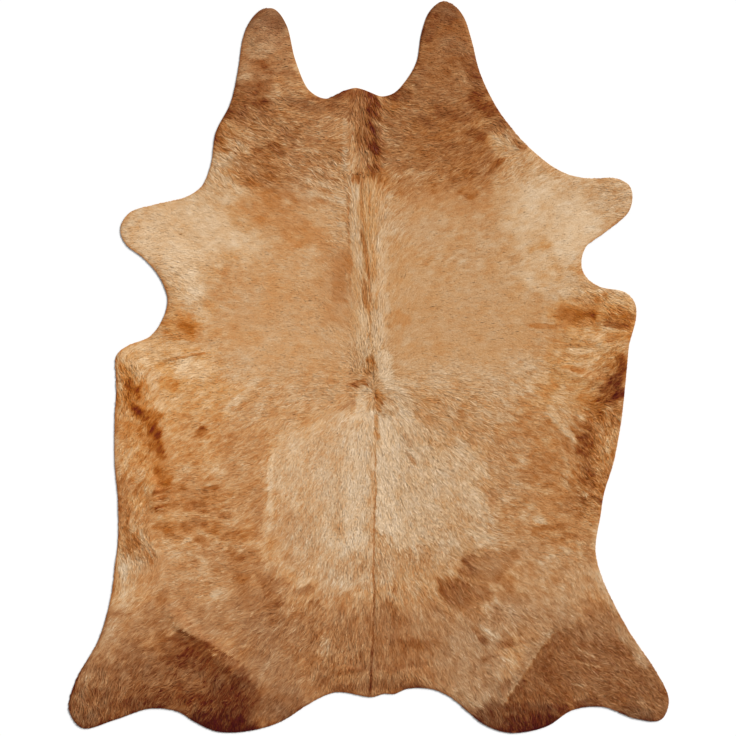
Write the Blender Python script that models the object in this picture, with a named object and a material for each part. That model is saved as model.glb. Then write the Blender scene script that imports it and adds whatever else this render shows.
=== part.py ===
"""A whole cowhide, trimmed and laid flat as a rug: hair side up, flesh side on the floor.

Metres, +Z up. The neck points to +Y and the tail to -Y, and the origin lies on the floor under the
middle of the hide. The real thing is one skin with its own hair still on it, with nothing sewn on,
so it is one solid: the skin, as thick as its cut edge, and over it the depth of the hair that lies
on it. The skin rises a little off the floor where it puckers, and the hair stands higher in the
mane along the back and is parted behind it.
"""
import math
from collections import namedtuple

import bmesh
import bpy
from mathutils import Vector
from mathutils.geometry import delaunay_2d_cdt

MM = 0.001

# Driving sizes.
HIDE_LENGTH = 2.250  # cheek to hind leg, along Y
HIDE_WIDTH = 1.845  # hind leg to hind leg, along X
SKIN_THICKNESS = 0.0020  # of the tanned skin, as its cut edge shows
HAIR_DEPTH = 0.0045  # of the short hair that lies over the skin

# How finely the solid follows the hide.
RIM_STEP = 0.025  # between points of the cut edge
FIELD_STEP = 0.046  # between points of the open surface
FOLD_STEP = 0.030  # between points along a fold

# The cut edge, clockwise from the nape as seen from above. Each stretch has its landmarks as
# (across, along) from the middle of the hide, in millimetres, and a smooth curve runs through all.
EDGE = {
    "nape": ((-40, 857), (5, 843), (38, 831), (76, 841), (108, 873)),
    "right cheek": ((145, 935), (161, 1025), (186, 1092), (225, 1123), (264, 1108), (292, 1072)),
    "right side of the neck": ((315, 1003), (340, 905), (390, 800), (455, 711), (510, 657)),
    "right shoulder": ((570, 611), (626, 586), (686, 578), (750, 580)),
    "right foreleg": ((795, 561), (808, 530), (798, 478), (727, 415)),
    "right armpit": ((666, 369), (652, 310), (672, 269), (710, 245)),
    "right elbow": ((785, 229), (818, 190), (817, 135), (800, 75), (790, -20)),
    "right flank": ((775, -160), (750, -295), (721, -390), (711, -454), (695, -560), (710, -636)),
    "right hind leg": ((765, -755), (815, -840), (880, -935), (920, -1025)),
    "right hock": ((895, -1085), (815, -1080), (720, -1045), (625, -1055)),
    "right thigh": ((545, -1105), (435, -1125), (355, -1100), (250, -1015)),
    "tail": ((190, -990), (115, -990), (80, -1005), (45, -1005), (10, -1015), (-100, -1000)),
    "left thigh": ((-175, -1030), (-270, -1090), (-375, -1120), (-470, -1120), (-545, -1085)),
    "left hock": ((-585, -1060), (-670, -1050), (-780, -1085), (-880, -1110), (-920, -1055)),
    "left hind leg": ((-900, -965), (-830, -840), (-790, -700), (-780, -620)),
    "left flank": ((-770, -525), (-770, -410), (-780, -295), (-780, -180), (-775, -55)),
    "left elbow": ((-775, 35), (-741, 64), (-671, 94), (-635, 143)),
    "left armpit": ((-618, 205), (-642, 274), (-690, 332), (-748, 379)),
    "left foreleg": ((-763, 425), (-736, 472), (-649, 500), (-566, 520), (-515, 553)),
    "left side of the neck": ((-485, 622), (-470, 720), (-425, 810), (-402, 910)),
    "left cheek": ((-386, 1012), (-365, 1062), (-330, 1097), (-290, 1099), (-254, 1052)),
    "left of the nape": ((-225, 940), (-182, 848), (-131, 824), (-83, 845)),
}

# Where the skin puckers and lifts off the floor: the ends of the fold's crest as (across, along),
# how far it rises and how wide it is on each side, in millimetres.
Fold = namedtuple("Fold", "place start end rise half_width")
FOLDS = (
    Fold("crease across the left thigh", (-640, -730), (-360, -985), 4.0, 36),
    Fold("crease across the right thigh", (690, -700), (410, -1040), 4.0, 36),
    Fold("second crease of the right thigh", (340, -975), (480, -870), 2.5, 28),
    Fold("pucker over the tail", (-120, -940), (220, -948), 2.5, 30),
    Fold("pucker of the left belly", (-670, -330), (-655, -455), 4.0, 34),
    Fold("ripple of the left flank", (-650, -470), (-540, -430), 2.5, 28),
    Fold("wrinkle behind the left elbow", (-635, 25), (-500, 50), 2.5, 26),
    Fold("upper ripple of the right belly", (590, 100), (750, 70), 3.0, 28),
    Fold("lower ripple of the right belly", (560, 0), (735, -50), 3.0, 28),
    Fold("pucker of the right loin", (600, -330), (690, -400), 2.5, 28),
    Fold("lift of the left cheek", (-330, 960), (-330, 1060), 3.0, 48),
    Fold("lift of the right hock", (800, -985), (860, -1040), 3.0, 50),
)

# Where the hair itself stands higher than the rest, or is parted towards the skin, likewise.
Growth = namedtuple("Growth", "place start end extra half_width")
GROWTHS = (
    Growth("dark mane behind the nape", (5, 840), (5, 580), 4.0, 52),
    Growth("golden mane to the whorl", (0, 600), (20, -90), 3.0, 52),
    Growth("parting along the back", (20, -100), (12, -1000), -2.0, 16),
)
END_TAPER = 0.22  # share of a fold's or growth's length over which each end fades away

# From the cut edge inwards: how far in a ring of points lies, and the share of the hair's depth
# there, because the hair thins out to nothing at the cut.
Ring = namedtuple("Ring", "inset hair_share")
SHOULDER = (Ring(0.0, 0.0), Ring(0.006, 0.62), Ring(0.020, 1.0))

HAIR_COLOUR = (0.53, 0.31, 0.15, 1.0)


def landmarks():
    """The edge's landmarks in order, in metres."""
    return [Vector(point) * MM for stretch in EDGE.values() for point in stretch]


def smooth_point(before, start, end, after, share):
    """A point of the centripetal Catmull-Rom curve from start to end, at this share of the way."""
    knots = [0.0]
    for near, far in ((before, start), (start, end), (end, after)):
        knots.append(knots[-1] + math.sqrt((far - near).length))
    at = knots[1] + share * (knots[2] - knots[1])

    def between(first, last, low, high):
        return first.lerp(last, (at - knots[low]) / (knots[high] - knots[low]))

    early = between(between(before, start, 0, 1), between(start, end, 1, 2), 0, 2)
    late = between(between(start, end, 1, 2), between(end, after, 2, 3), 1, 3)
    return between(early, late, 1, 2)


def cut_edge():
    """Points along the cut edge, scaled to the driving sizes and centred on the origin."""
    marks = landmarks()
    points = []
    for i, start in enumerate(marks):
        before, end, after = marks[i - 1], marks[(i + 1) % len(marks)], marks[(i + 2) % len(marks)]
        pieces = max(2, round((end - start).length / RIM_STEP))
        points += [smooth_point(before, start, end, after, k / pieces) for k in range(pieces)]
    low = Vector((min(p.x for p in points), min(p.y for p in points)))
    high = Vector((max(p.x for p in points), max(p.y for p in points)))
    middle, size = (low + high) / 2, high - low
    scale = Vector((HIDE_WIDTH / size.x, HIDE_LENGTH / size.y))
    return [(p - middle) * scale for p in points]


def inset(loop, distance):
    """The clockwise loop moved inwards, each point square to its neighbours' line."""
    moved = []
    for i, point in enumerate(loop):
        along = (loop[(i + 1) % len(loop)] - loop[i - 1]).normalized()
        moved.append(point + distance * Vector((along.y, -along.x)))
    return moved


def swell(point, crest, half_width):
    """1 on the line from the crest's start to its end, fading to 0 at half_width and at its ends."""
    start, end = (Vector(p) * MM for p in crest)
    line = end - start
    share = min(1.0, max(0.0, (point - start).dot(line) / line.length_squared))
    away = (point - start - share * line).length / (half_width * MM)
    if away >= 1:
        return 0.0
    fade = min(1.0, share / END_TAPER, (1 - share) / END_TAPER)
    return math.cos(away * math.pi / 2) ** 2 * math.sin(fade * math.pi / 2)


def skin_lift(point):
    """How far the skin's flesh side is above the floor."""
    return max(f.rise * MM * swell(point, (f.start, f.end), f.half_width) for f in FOLDS)


def hair_depth(point):
    return HAIR_DEPTH + sum(
        g.extra * MM * swell(point, (g.start, g.end), g.half_width) for g in GROWTHS
    )


def crest_points():
    """Points on each crest and beside it, so that the facets follow the folds and the mane."""
    points = []
    for row in FOLDS + GROWTHS:
        start, end = Vector(row.start) * MM, Vector(row.end) * MM
        line = end - start
        square = Vector((-line.y, line.x)).normalized() * row.half_width * MM
        count = max(3, round(line.length / FOLD_STEP))
        for k in range(count + 1):
            points += [start + line * (k / count) + square * side for side in (-1, -0.5, 0, 0.5, 1)]
    return points


def inside(point, loop):
    """Whether the point lies in the loop: a line from it crosses the loop an odd number of times."""
    crossings = 0
    for i, end in enumerate(loop):
        start = loop[i - 1]
        if (start.y > point.y) != (end.y > point.y):
            reach = start.x + (point.y - start.y) / (end.y - start.y) * (end.x - start.x)
            crossings += reach > point.x
    return crossings % 2 == 1


def apart(point, others, distance):
    return all((point - other).length >= distance for other in others)


def field_points(loop):
    """Points over the open surface: those of the folds first, then an even triangular grid."""
    chosen = []
    for point in crest_points():
        if inside(point, loop) and apart(point, loop, 0.4 * RIM_STEP):
            if apart(point, chosen, 0.2 * FOLD_STEP):
                chosen.append(point)
    row_step = FIELD_STEP * math.sqrt(3) / 2
    rows = int(HIDE_LENGTH / 2 / row_step)
    columns = int(HIDE_WIDTH / 2 / FIELD_STEP) + 1
    for row in range(-rows, rows + 1):
        for column in range(-columns, columns + 1):
            point = Vector(((column + 0.5 * (row % 2)) * FIELD_STEP, row * row_step))
            if inside(point, loop) and apart(point, loop, 0.55 * FIELD_STEP):
                if apart(point, chosen, 0.5 * FIELD_STEP):
                    chosen.append(point)
    return chosen


def triangulate(loop):
    """The loop's points and those within it, and triangles between them that face up."""
    points = loop + field_points(loop)
    ring = list(range(len(loop)))
    placed, _, faces, _, _, _ = delaunay_2d_cdt(points, [], [ring], 1, 1e-6)
    if len(placed) != len(points):
        raise ValueError("the cut edge crosses itself")
    upward = []
    for a, b, c in faces:
        turn = (placed[b] - placed[a]).cross(placed[c] - placed[a])
        upward.append((a, b, c) if turn > 0 else (a, c, b))
    return placed, upward


def join_rings(bm, outer, inner):
    """A band of faces between two clockwise rings of vertices, from the outer to the inner."""
    for i in range(len(outer)):
        bm.faces.new((inner[i - 1], inner[i], outer[i], outer[i - 1]))


def build_hide():
    rim = cut_edge()
    bm = bmesh.new()

    def top(point, hair_share):
        height = skin_lift(point) + SKIN_THICKNESS + hair_share * hair_depth(point)
        return bm.verts.new((point.x, point.y, height))

    def underside(point):
        return bm.verts.new((point.x, point.y, skin_lift(point)))

    rings = [[top(p, ring.hair_share) for p in inset(rim, ring.inset)] for ring in SHOULDER[:-1]]
    field, faces = triangulate(inset(rim, SHOULDER[-1].inset))
    hair_side = [top(point, SHOULDER[-1].hair_share) for point in field]
    flesh_side = [underside(point) for point in field]
    flesh_rim = [underside(point) for point in rim]
    for a, b, c in faces:
        bm.faces.new((hair_side[a], hair_side[b], hair_side[c]))
        bm.faces.new((flesh_side[a], flesh_side[c], flesh_side[b]))
    rings = [flesh_side[: len(rim)], flesh_rim, *rings, hair_side[: len(rim)]]
    for outer, inner in zip(rings, rings[1:]):
        join_rings(bm, outer, inner)
    bmesh.ops.recalc_face_normals(bm, faces=bm.faces)
    mesh = bpy.data.meshes.new("hide")
    bm.to_mesh(mesh)
    bm.free()
    mesh.shade_smooth()
    mesh.set_sharp_from_angle(angle=math.radians(50))
    hide = bpy.data.objects.new("hide", mesh)
    bpy.context.collection.objects.link(hide)
    return hide


def hair_material():
    material = bpy.data.materials.new("cowhide hair")
    material.use_nodes = True
    shader = material.node_tree.nodes["Principled BSDF"]
    shader.inputs["Base Color"].default_value = HAIR_COLOUR
    shader.inputs["Roughness"].default_value = 0.75
    shader.inputs["Metallic"].default_value = 0.0
    return material


for old in list(bpy.data.objects):
    bpy.data.objects.remove(old)
build_hide().data.materials.append(hair_material())
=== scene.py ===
# %% [markdown]
# # A whole cowhide, laid flat as a rug
#
# A cowhide rug is one tanned skin with its own hair left on. The skin is a thin, flat sheet with
# the animal's outline: the neck at the top, then the forelegs, the hind legs and the tail. What
# the eye sees is hair: nearly three hundred thousand short locks that lie flat, combed by nature in
# one sweeping pattern, with a coat that runs from cream to dark umber.
#
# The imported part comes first. It is the frame for everything here: metres, +Z up, the neck
# towards +Y and the origin on the floor under the middle of the hide.

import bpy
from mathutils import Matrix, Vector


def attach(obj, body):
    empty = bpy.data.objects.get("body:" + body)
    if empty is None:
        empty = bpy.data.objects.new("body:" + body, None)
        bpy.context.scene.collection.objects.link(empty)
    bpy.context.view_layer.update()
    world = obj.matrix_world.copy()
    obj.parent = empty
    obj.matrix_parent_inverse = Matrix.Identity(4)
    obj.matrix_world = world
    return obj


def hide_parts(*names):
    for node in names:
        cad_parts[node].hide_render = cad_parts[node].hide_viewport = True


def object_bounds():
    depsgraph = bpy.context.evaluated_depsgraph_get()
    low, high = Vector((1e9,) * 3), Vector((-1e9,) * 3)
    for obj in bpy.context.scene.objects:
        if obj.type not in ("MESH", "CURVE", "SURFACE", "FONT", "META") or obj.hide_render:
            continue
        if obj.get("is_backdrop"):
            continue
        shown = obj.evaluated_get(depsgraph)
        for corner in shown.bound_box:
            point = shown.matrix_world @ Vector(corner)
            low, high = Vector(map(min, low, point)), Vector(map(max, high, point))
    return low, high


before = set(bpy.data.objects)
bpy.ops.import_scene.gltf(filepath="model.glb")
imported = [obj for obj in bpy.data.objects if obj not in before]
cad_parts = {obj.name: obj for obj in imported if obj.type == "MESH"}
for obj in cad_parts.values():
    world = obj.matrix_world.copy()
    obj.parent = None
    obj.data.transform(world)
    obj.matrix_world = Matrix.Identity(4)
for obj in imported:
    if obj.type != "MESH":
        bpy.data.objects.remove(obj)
cad_low, cad_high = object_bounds()
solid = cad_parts["hide"]
print("the solid is", [round(size, 4) for size in cad_high - cad_low], "m")

# %% Tools
import math
from collections import namedtuple

import bpy
import numpy as np
from mathutils import Vector
from mathutils.geometry import delaunay_2d_cdt

MM = 0.001
SKIN_THICKNESS = 2.0 * MM  # as the cut edge shows
HAIR_DEPTH = 4.5 * MM  # how high the lying hair fills

# %% [markdown]
# ## The cut edge
#
# The outline is where the knife went round the skin. The solid already has it, so it isn't drawn
# again. Its faces that look down at the floor end at the cut edge, so the sides that only one of
# them uses, followed one after the other, are the outline. A curve through these points then
# takes the corners off, because leather is cut in one smooth sweep.


# %% The outline of the flesh side
def flesh_rim(mesh):
    """The outline of the faces that look down, as (x, y) points in order."""
    number, place, welded = {}, [], []
    for vertex in mesh.vertices:
        key = tuple(round(c * 1e5) for c in vertex.co)
        if key not in number:
            number[key] = len(place)
            place.append((vertex.co.x, vertex.co.y))
        welded.append(number[key])
    sides = set()
    for face in mesh.polygons:
        if face.normal.z < -0.5:
            corners = [welded[i] for i in face.vertices]
            sides.update(zip(corners, corners[1:] + corners[:1]))
    following = {a: b for a, b in sides if (b, a) not in sides}
    loop = [min(following)]
    while following[loop[-1]] != loop[0]:
        loop.append(following[loop[-1]])
    return np.array([place[i] for i in loop])


def rounded(loop, pieces):
    """The outline with each side cut in this many pieces of a smooth curve."""
    before, after, beyond = (np.roll(loop, k, axis=0) for k in (1, -1, -2))
    steps = []
    for t in np.arange(pieces) / pieces:
        bend = (2 * before - 5 * loop + 4 * after - beyond) * t**2
        twist = (3 * loop - before - 3 * after + beyond) * t**3
        steps.append(loop + ((after - before) * t + bend + twist) / 2)
    return np.stack(steps, 1).reshape(-1, 2)


cut_edge = flesh_rim(solid.data)
rim = rounded(cut_edge, 4)
print(len(cut_edge), "points on the solid's edge,", len(rim), "on the smooth one")

# %% [markdown]
# ## A grid to think on
#
# The folds, the lie of the hair and the coat all vary over the hide, and all are needed at
# hundreds of thousands of places. Each is worked out once on a fine grid over the whole rug, a
# field, and then read wherever it is needed. The first field says how far a place is from the cut
# edge: positive on the hide, negative beside it.

# %% The grid
CELL = 2 * MM
MARGIN = 12 * MM
across = np.arange(cad_low.x - MARGIN, cad_high.x + MARGIN, CELL)
along = np.arange(cad_low.y - MARGIN, cad_high.y + MARGIN, CELL)
GX, GY = np.meshgrid(across, along)


def read(field, x, y):
    """The field at these places, from the four cells round each."""
    column = np.clip((x - across[0]) / CELL, 0, len(across) - 1.001)
    row = np.clip((y - along[0]) / CELL, 0, len(along) - 1.001)
    c, r = column.astype(int), row.astype(int)
    right, up = column - c, row - r
    near = field[r, c] * (1 - right) + field[r, c + 1] * right
    far = field[r + 1, c] * (1 - right) + field[r + 1, c + 1] * right
    return near * (1 - up) + far * up


# %% How far from the edge
EDGE_REACH = 36 * MM  # beyond this, a place is simply far inside


def on_hide():
    """Which cells lie within the outline: row by row, between each two crossings of it."""
    inside = np.zeros(GX.shape, bool)
    x0, y0 = np.roll(rim, 1, axis=0).T
    x1, y1 = rim.T
    for row, y in enumerate(along):
        cut = (y0 > y) != (y1 > y)
        crossings = np.sort(x0[cut] + (y - y0[cut]) / (y1[cut] - y0[cut]) * (x1[cut] - x0[cut]))
        inside[row] = np.searchsorted(crossings, across) % 2 == 1
    return inside


def edge_distance():
    """The distance from the cut edge, negative off the hide."""
    reach = int(EDGE_REACH / CELL)
    away = np.full(GX.shape, EDGE_REACH)
    for x, y in rounded(rim, 5):
        c, r = int((x - across[0]) / CELL), int((y - along[0]) / CELL)
        part = np.s_[max(r - reach, 0) : r + reach, max(c - reach, 0) : c + reach]
        away[part] = np.minimum(away[part], np.hypot(GX[part] - x, GY[part] - y))
    return np.where(on_hide(), away, -away)


inset = edge_distance()
area = float((inset > 0).sum() * CELL**2)
print("the hide covers", round(area, 3), "m2 of floor")

# %% [markdown]
# ## Folds of the skin
#
# A hide never lies quite flat. Where the legs join the belly the skin has been stretched over a
# round animal, so it puckers in low soft folds a few millimetres high. Each fold is a line with a
# height and a width: highest on the line, fading to nothing at its sides and ends. The main ones
# are those of the solid. The finer wrinkles beside them are only here.

# %% Folds and wrinkles
Fold = namedtuple("Fold", "place start end rise half_width")
FOLDS = (
    Fold("crease across the left thigh", (-640, -730), (-360, -985), 4.0, 36),
    Fold("crease across the right thigh", (690, -700), (410, -1040), 4.0, 36),
    Fold("second crease of the right thigh", (340, -975), (480, -870), 2.5, 28),
    Fold("pucker over the tail", (-120, -940), (220, -948), 2.5, 30),
    Fold("pucker of the left belly", (-670, -330), (-655, -455), 4.0, 34),
    Fold("ripple of the left flank", (-650, -470), (-540, -430), 2.5, 28),
    Fold("wrinkle behind the left elbow", (-635, 25), (-500, 50), 2.5, 26),
    Fold("upper ripple of the right belly", (590, 100), (750, 70), 3.0, 28),
    Fold("lower ripple of the right belly", (560, 0), (735, -50), 3.0, 28),
    Fold("pucker of the right loin", (600, -330), (690, -400), 2.5, 28),
    Fold("lift of the left cheek", (-330, 960), (-330, 1060), 3.0, 48),
    Fold("lift of the right hock", (800, -985), (860, -1040), 3.0, 50),
)
WRINKLES = (
    Fold("first rung of the left belly", (-668, -360), (-612, -352), 1.6, 9),
    Fold("second rung of the left belly", (-668, -383), (-605, -374), 1.8, 9),
    Fold("third rung of the left belly", (-672, -408), (-596, -398), 1.8, 9),
    Fold("arc below the rungs", (-655, -436), (-560, -412), 1.6, 10),
    Fold("ripple under the left arc", (-640, -505), (-560, -520), 1.4, 11),
    Fold("ridge on the left thigh's crease", (-620, -782), (-400, -893), 1.8, 12),
    Fold("ridge on the right thigh's crease", (556, -822), (412, -1036), 1.8, 12),
    Fold("line above the tail", (-110, -926), (170, -936), 1.4, 10),
    Fold("line beside the tail", (-10, -962), (140, -968), 1.2, 9),
    Fold("line of the right rump", (312, -938), (402, -884), 1.3, 9),
    Fold("fine line behind the left elbow", (-625, 20), (-512, 46), 1.2, 9),
    Fold("first ripple of the right belly", (600, 78), (690, 60), 1.5, 12),
    Fold("second ripple of the right belly", (610, 42), (700, 30), 1.3, 12),
    Fold("streak of the right loin", (560, -140), (640, -235), 1.2, 11),
)
END_TAPER = 0.22  # share of a fold's length over which each end fades away


def beside(x, y, start, end):
    """How far along the line from start to end each place is, as a share, and how far from it."""
    (x0, y0), (x1, y1) = np.array(start) * MM, np.array(end) * MM
    dx, dy = x1 - x0, y1 - y0
    share = np.clip(((x - x0) * dx + (y - y0) * dy) / (dx**2 + dy**2), 0, 1)
    return share, np.hypot(x - x0 - share * dx, y - y0 - share * dy)


def swell(start, end, half_width):
    """1 on the line from start to end, fading to 0 at its half width and at its ends."""
    share, away = beside(GX, GY, start, end)
    fade = np.minimum(1, np.minimum(share, 1 - share) / END_TAPER)
    slope = np.cos(np.minimum(away / (half_width * MM), 1) * math.pi / 2) ** 2
    return slope * np.sin(fade * math.pi / 2)


def highest(rows):
    return np.max([row.rise * MM * swell(row.start, row.end, row.half_width) for row in rows], 0)


lift = highest(FOLDS) + highest(WRINKLES)
print("the skin rises up to", round(float(lift.max()) / MM, 1), "mm off the floor")

# %% [markdown]
# ## Depth of the hair
#
# Over most of the hide the hair lies 4 or 5 mm deep. Along the neck it grows into a mane, from
# the nape to the whorl in the middle of the back, and behind the whorl it parts towards both
# sides. At the cut edge it thins out, because its roots end there.

# %% The mane and the parting
Growth = namedtuple("Growth", "place start end extra half_width")
GROWTHS = (
    Growth("dark mane behind the nape", (5, 840), (5, 580), 4.0, 52),
    Growth("golden mane to the whorl", (0, 600), (20, -90), 3.0, 52),
    Growth("parting along the back", (20, -100), (12, -1000), -2.0, 14),
)
fill = HAIR_DEPTH + sum(g.extra * MM * swell(g.start, g.end, g.half_width) for g in GROWTHS)
THINNING = ((0, 0.45), (6 * MM, 0.7), (20 * MM, 1.0))  # how far in, and what share of the depth
fill *= np.interp(inset, *zip(*THINNING))
print("the hair is up to", round(float(fill.max()) / MM, 1), "mm deep")

# %% [markdown]
# ## The lie of the hair
#
# Cow hair grows in streams. On this hide all of it starts from one whorl on the back: forwards
# and out over the shoulders, backwards and down over the flanks. On the neck the stream turns
# against the one from the nape, and the two meet in tufts. The table tells, place by place, in
# which direction the tips point: 0 degrees is to the right, 90 towards the neck. Between those
# places the direction is a mean of the nearest ones, and close to the whorl it is straight out.
# The mane is a band of its own, with another direction at its left, in its middle and at its
# right.

# %% Where the tips point
LIE = {
    "left of the neck": (
        (-90, 800, 205), (-90, 720, 190), (-90, 650, 160), (-85, 590, 154), (-80, 530, 156),
        (-80, 460, 160), (-130, 590, 152), (-130, 530, 154), (-180, 800, 188),
        (-190, 700, 176), (-190, 610, 156), (-180, 540, 152), (-150, 440, 166),
        (-280, 790, 165), (-290, 700, 158), (-300, 620, 157), (-300, 540, 165), (-400, 740, 150),
        (-430, 680, 142), (-390, 620, 152), (-460, 600, 136), (-380, 540, 158), (-370, 850, 178),
        (-270, 870, 184), (-330, 930, 188), (-300, 1000, 176), (-320, 1070, 186),
    ),
    "right of the neck": (
        (75, 800, 332), (90, 720, 348), (100, 640, 8), (90, 570, 44), (90, 500, 46),
        (150, 800, 350), (180, 700, 8), (180, 620, 22), (170, 540, 28), (150, 450, 28),
        (240, 800, 8), (260, 730, 26), (270, 640, 24), (260, 550, 18), (340, 770, 28),
        (350, 680, 36), (350, 620, 36), (410, 730, 312), (430, 690, 318), (430, 620, 38),
        (490, 640, 42), (480, 570, 32), (370, 540, 20), (250, 880, 352), (180, 900, 4),
        (310, 900, 330), (230, 980, 358), (230, 1070, 345),
    ),
    "left shoulder and foreleg": (
        (-200, 420, 168), (-300, 460, 170), (-400, 460, 164), (-500, 520, 150),
        (-520, 440, 168), (-620, 440, 178), (-720, 430, 184), (-660, 360, 188),
        (-560, 340, 176), (-560, 250, 158), (-450, 340, 176), (-300, 360, 176),
    ),
    "right shoulder and foreleg": (
        (90, 410, 55), (200, 420, 24), (300, 450, 16), (400, 470, 16), (500, 500, 28),
        (570, 560, 24), (640, 480, 12), (720, 500, 6), (780, 530, 0), (700, 420, 20),
        (600, 390, 20), (500, 350, 24), (400, 350, 14), (300, 350, 10),
    ),
    "left side": (
        (-90, 300, 146), (-90, 200, 142), (-90, 100, 142), (-100, 20, 156), (-200, 300, 172),
        (-200, 150, 174), (-200, 30, 180), (-330, 250, 177), (-330, 100, 182), (-320, 0, 190),
        (-450, 200, 176), (-460, 80, 190), (-560, 120, 182), (-600, 180, 172), (-600, 30, 196),
        (-700, 40, 200), (-740, -10, 290), (-745, -70, 276), (-690, -90, 232), (-590, -50, 200),
        (-480, -30, 198), (-400, -60, 202), (-560, -130, 198), (-470, -140, 202),
        (-720, -160, 238), (-640, -180, 222), (-740, -250, 236), (-680, -270, 236),
        (-560, -230, 210), (-460, -240, 206), (-620, -330, 198), (-540, -330, 196),
        (-440, -330, 200), (-740, -360, 240), (-690, -360, 240),
    ),
    "right side": (
        (75, 300, 62), (80, 200, 56), (80, 100, 50), (90, 30, 34), (180, 300, 14),
        (180, 150, 10), (200, 30, 8), (330, 250, 6), (330, 100, 0), (330, 0, 358),
        (450, 220, 6), (450, 60, 356), (570, 280, 14), (620, 230, 350), (580, 150, 352),
        (660, 180, 332), (740, 185, 334), (800, 150, 338), (640, 80, 2), (740, 70, 14),
        (600, 10, 350), (700, 0, 24), (765, 0, 42), (745, -80, 30), (680, -60, 16),
        (560, -60, 348), (450, -60, 336), (480, -150, 346), (590, -170, 322), (660, -160, 330),
        (740, -170, 300), (620, -260, 326), (690, -260, 308), (740, -260, 286),
        (520, -260, 344), (450, -240, 334), (520, -350, 346), (640, -350, 322),
    ),
    "round the whorl": (
        (-50, -60, 192), (-110, -50, 176), (-160, -60, 182), (-60, -120, 222),
        (-110, -160, 230), (-200, -130, 208), (-280, -110, 200), (80, -60, 352),
        (150, -60, 352), (80, -130, 312), (150, -120, 328), (250, -130, 330), (340, -140, 338),
        (250, -50, 354),
    ),
    "back": (
        (-60, -220, 256), (-60, -400, 262), (-50, -600, 262), (-150, -250, 238),
        (-150, -400, 248), (-140, -550, 252), (-240, -220, 226), (-260, -330, 238),
        (-260, -460, 238), (-250, -590, 232), (-330, -200, 208), (-360, -340, 206),
        (60, -220, 286), (70, -400, 280), (70, -600, 282), (150, -230, 302), (150, -400, 299),
        (150, -560, 298), (240, -210, 316), (250, -330, 308), (250, -460, 306),
        (240, -580, 306), (330, -200, 322), (330, -300, 316), (340, -420, 316),
        (400, -330, 334),
    ),
    "left flank": (
        (-720, -440, 250), (-725, -530, 298), (-685, -570, 300), (-640, -450, 190),
        (-560, -430, 188), (-460, -430, 188), (-370, -450, 208), (-620, -540, 190),
        (-520, -560, 190), (-400, -560, 200), (-750, -640, 262), (-680, -660, 226),
        (-580, -660, 196), (-460, -660, 196), (-370, -660, 206), (-770, -760, 218),
        (-690, -760, 212), (-580, -740, 206),
    ),
    "right flank": (
        (450, -440, 350), (560, -450, 352), (660, -450, 344), (430, -530, 344),
        (540, -560, 350), (650, -560, 336), (360, -580, 330), (460, -640, 322),
        (580, -650, 324), (670, -650, 304), (720, -690, 298), (500, -720, 320),
        (620, -740, 316), (700, -760, 308), (760, -790, 306),
    ),
    "rump": (
        (-290, -700, 216), (-190, -700, 236), (-80, -720, 252), (-380, -760, 208),
        (-280, -820, 222), (-170, -830, 238), (-60, -850, 258), (-340, -900, 218),
        (-230, -930, 230), (-120, -960, 254), (-20, -960, 266), (-470, -810, 212),
        (90, -720, 282), (180, -700, 300), (270, -690, 308), (360, -690, 322), (100, -840, 276),
        (200, -830, 298), (300, -800, 306), (400, -800, 314), (480, -780, 316), (80, -950, 276),
        (200, -930, 296), (300, -930, 306), (400, -900, 314), (330, -1020, 308),
        (-300, -1030, 226), (-200, -990, 236),
    ),
    "left hind leg": (
        (-560, -850, 216), (-460, -920, 220), (-660, -850, 214), (-560, -960, 218),
        (-440, -1010, 238), (-430, -1090, 258), (-350, -1060, 240), (-640, -960, 220),
        (-600, -1030, 236), (-760, -860, 222), (-740, -960, 236), (-720, -1030, 246),
        (-840, -930, 240), (-830, -1020, 266), (-890, -1050, 268),
    ),
    "right hind leg": (
        (560, -850, 312), (480, -960, 306), (430, -1060, 292), (520, -1070, 286),
        (560, -960, 314), (620, -1020, 312), (640, -880, 326), (720, -860, 332),
        (720, -950, 342), (800, -860, 318), (820, -940, 334), (720, -1020, 336),
        (800, -1030, 322), (880, -1030, 316),
    ),
}
Band = namedtuple("Band", "place start end half_width left middle right")
BANDS = (
    Band("dark mane", (-8, 870), (-8, 596), 54, 248, 286, 318),
    Band("golden mane", (-8, 588), (4, -20), 58, 104, 91, 70),
)
WHORL = (17 * MM, -81 * MM)
WHORL_REACH = 60 * MM
LIE_REACH = 24 * MM  # within this, a place follows its own row of the table
BAND_BORDER = 14 * MM  # over which the mane's direction gives way to the next one


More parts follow.
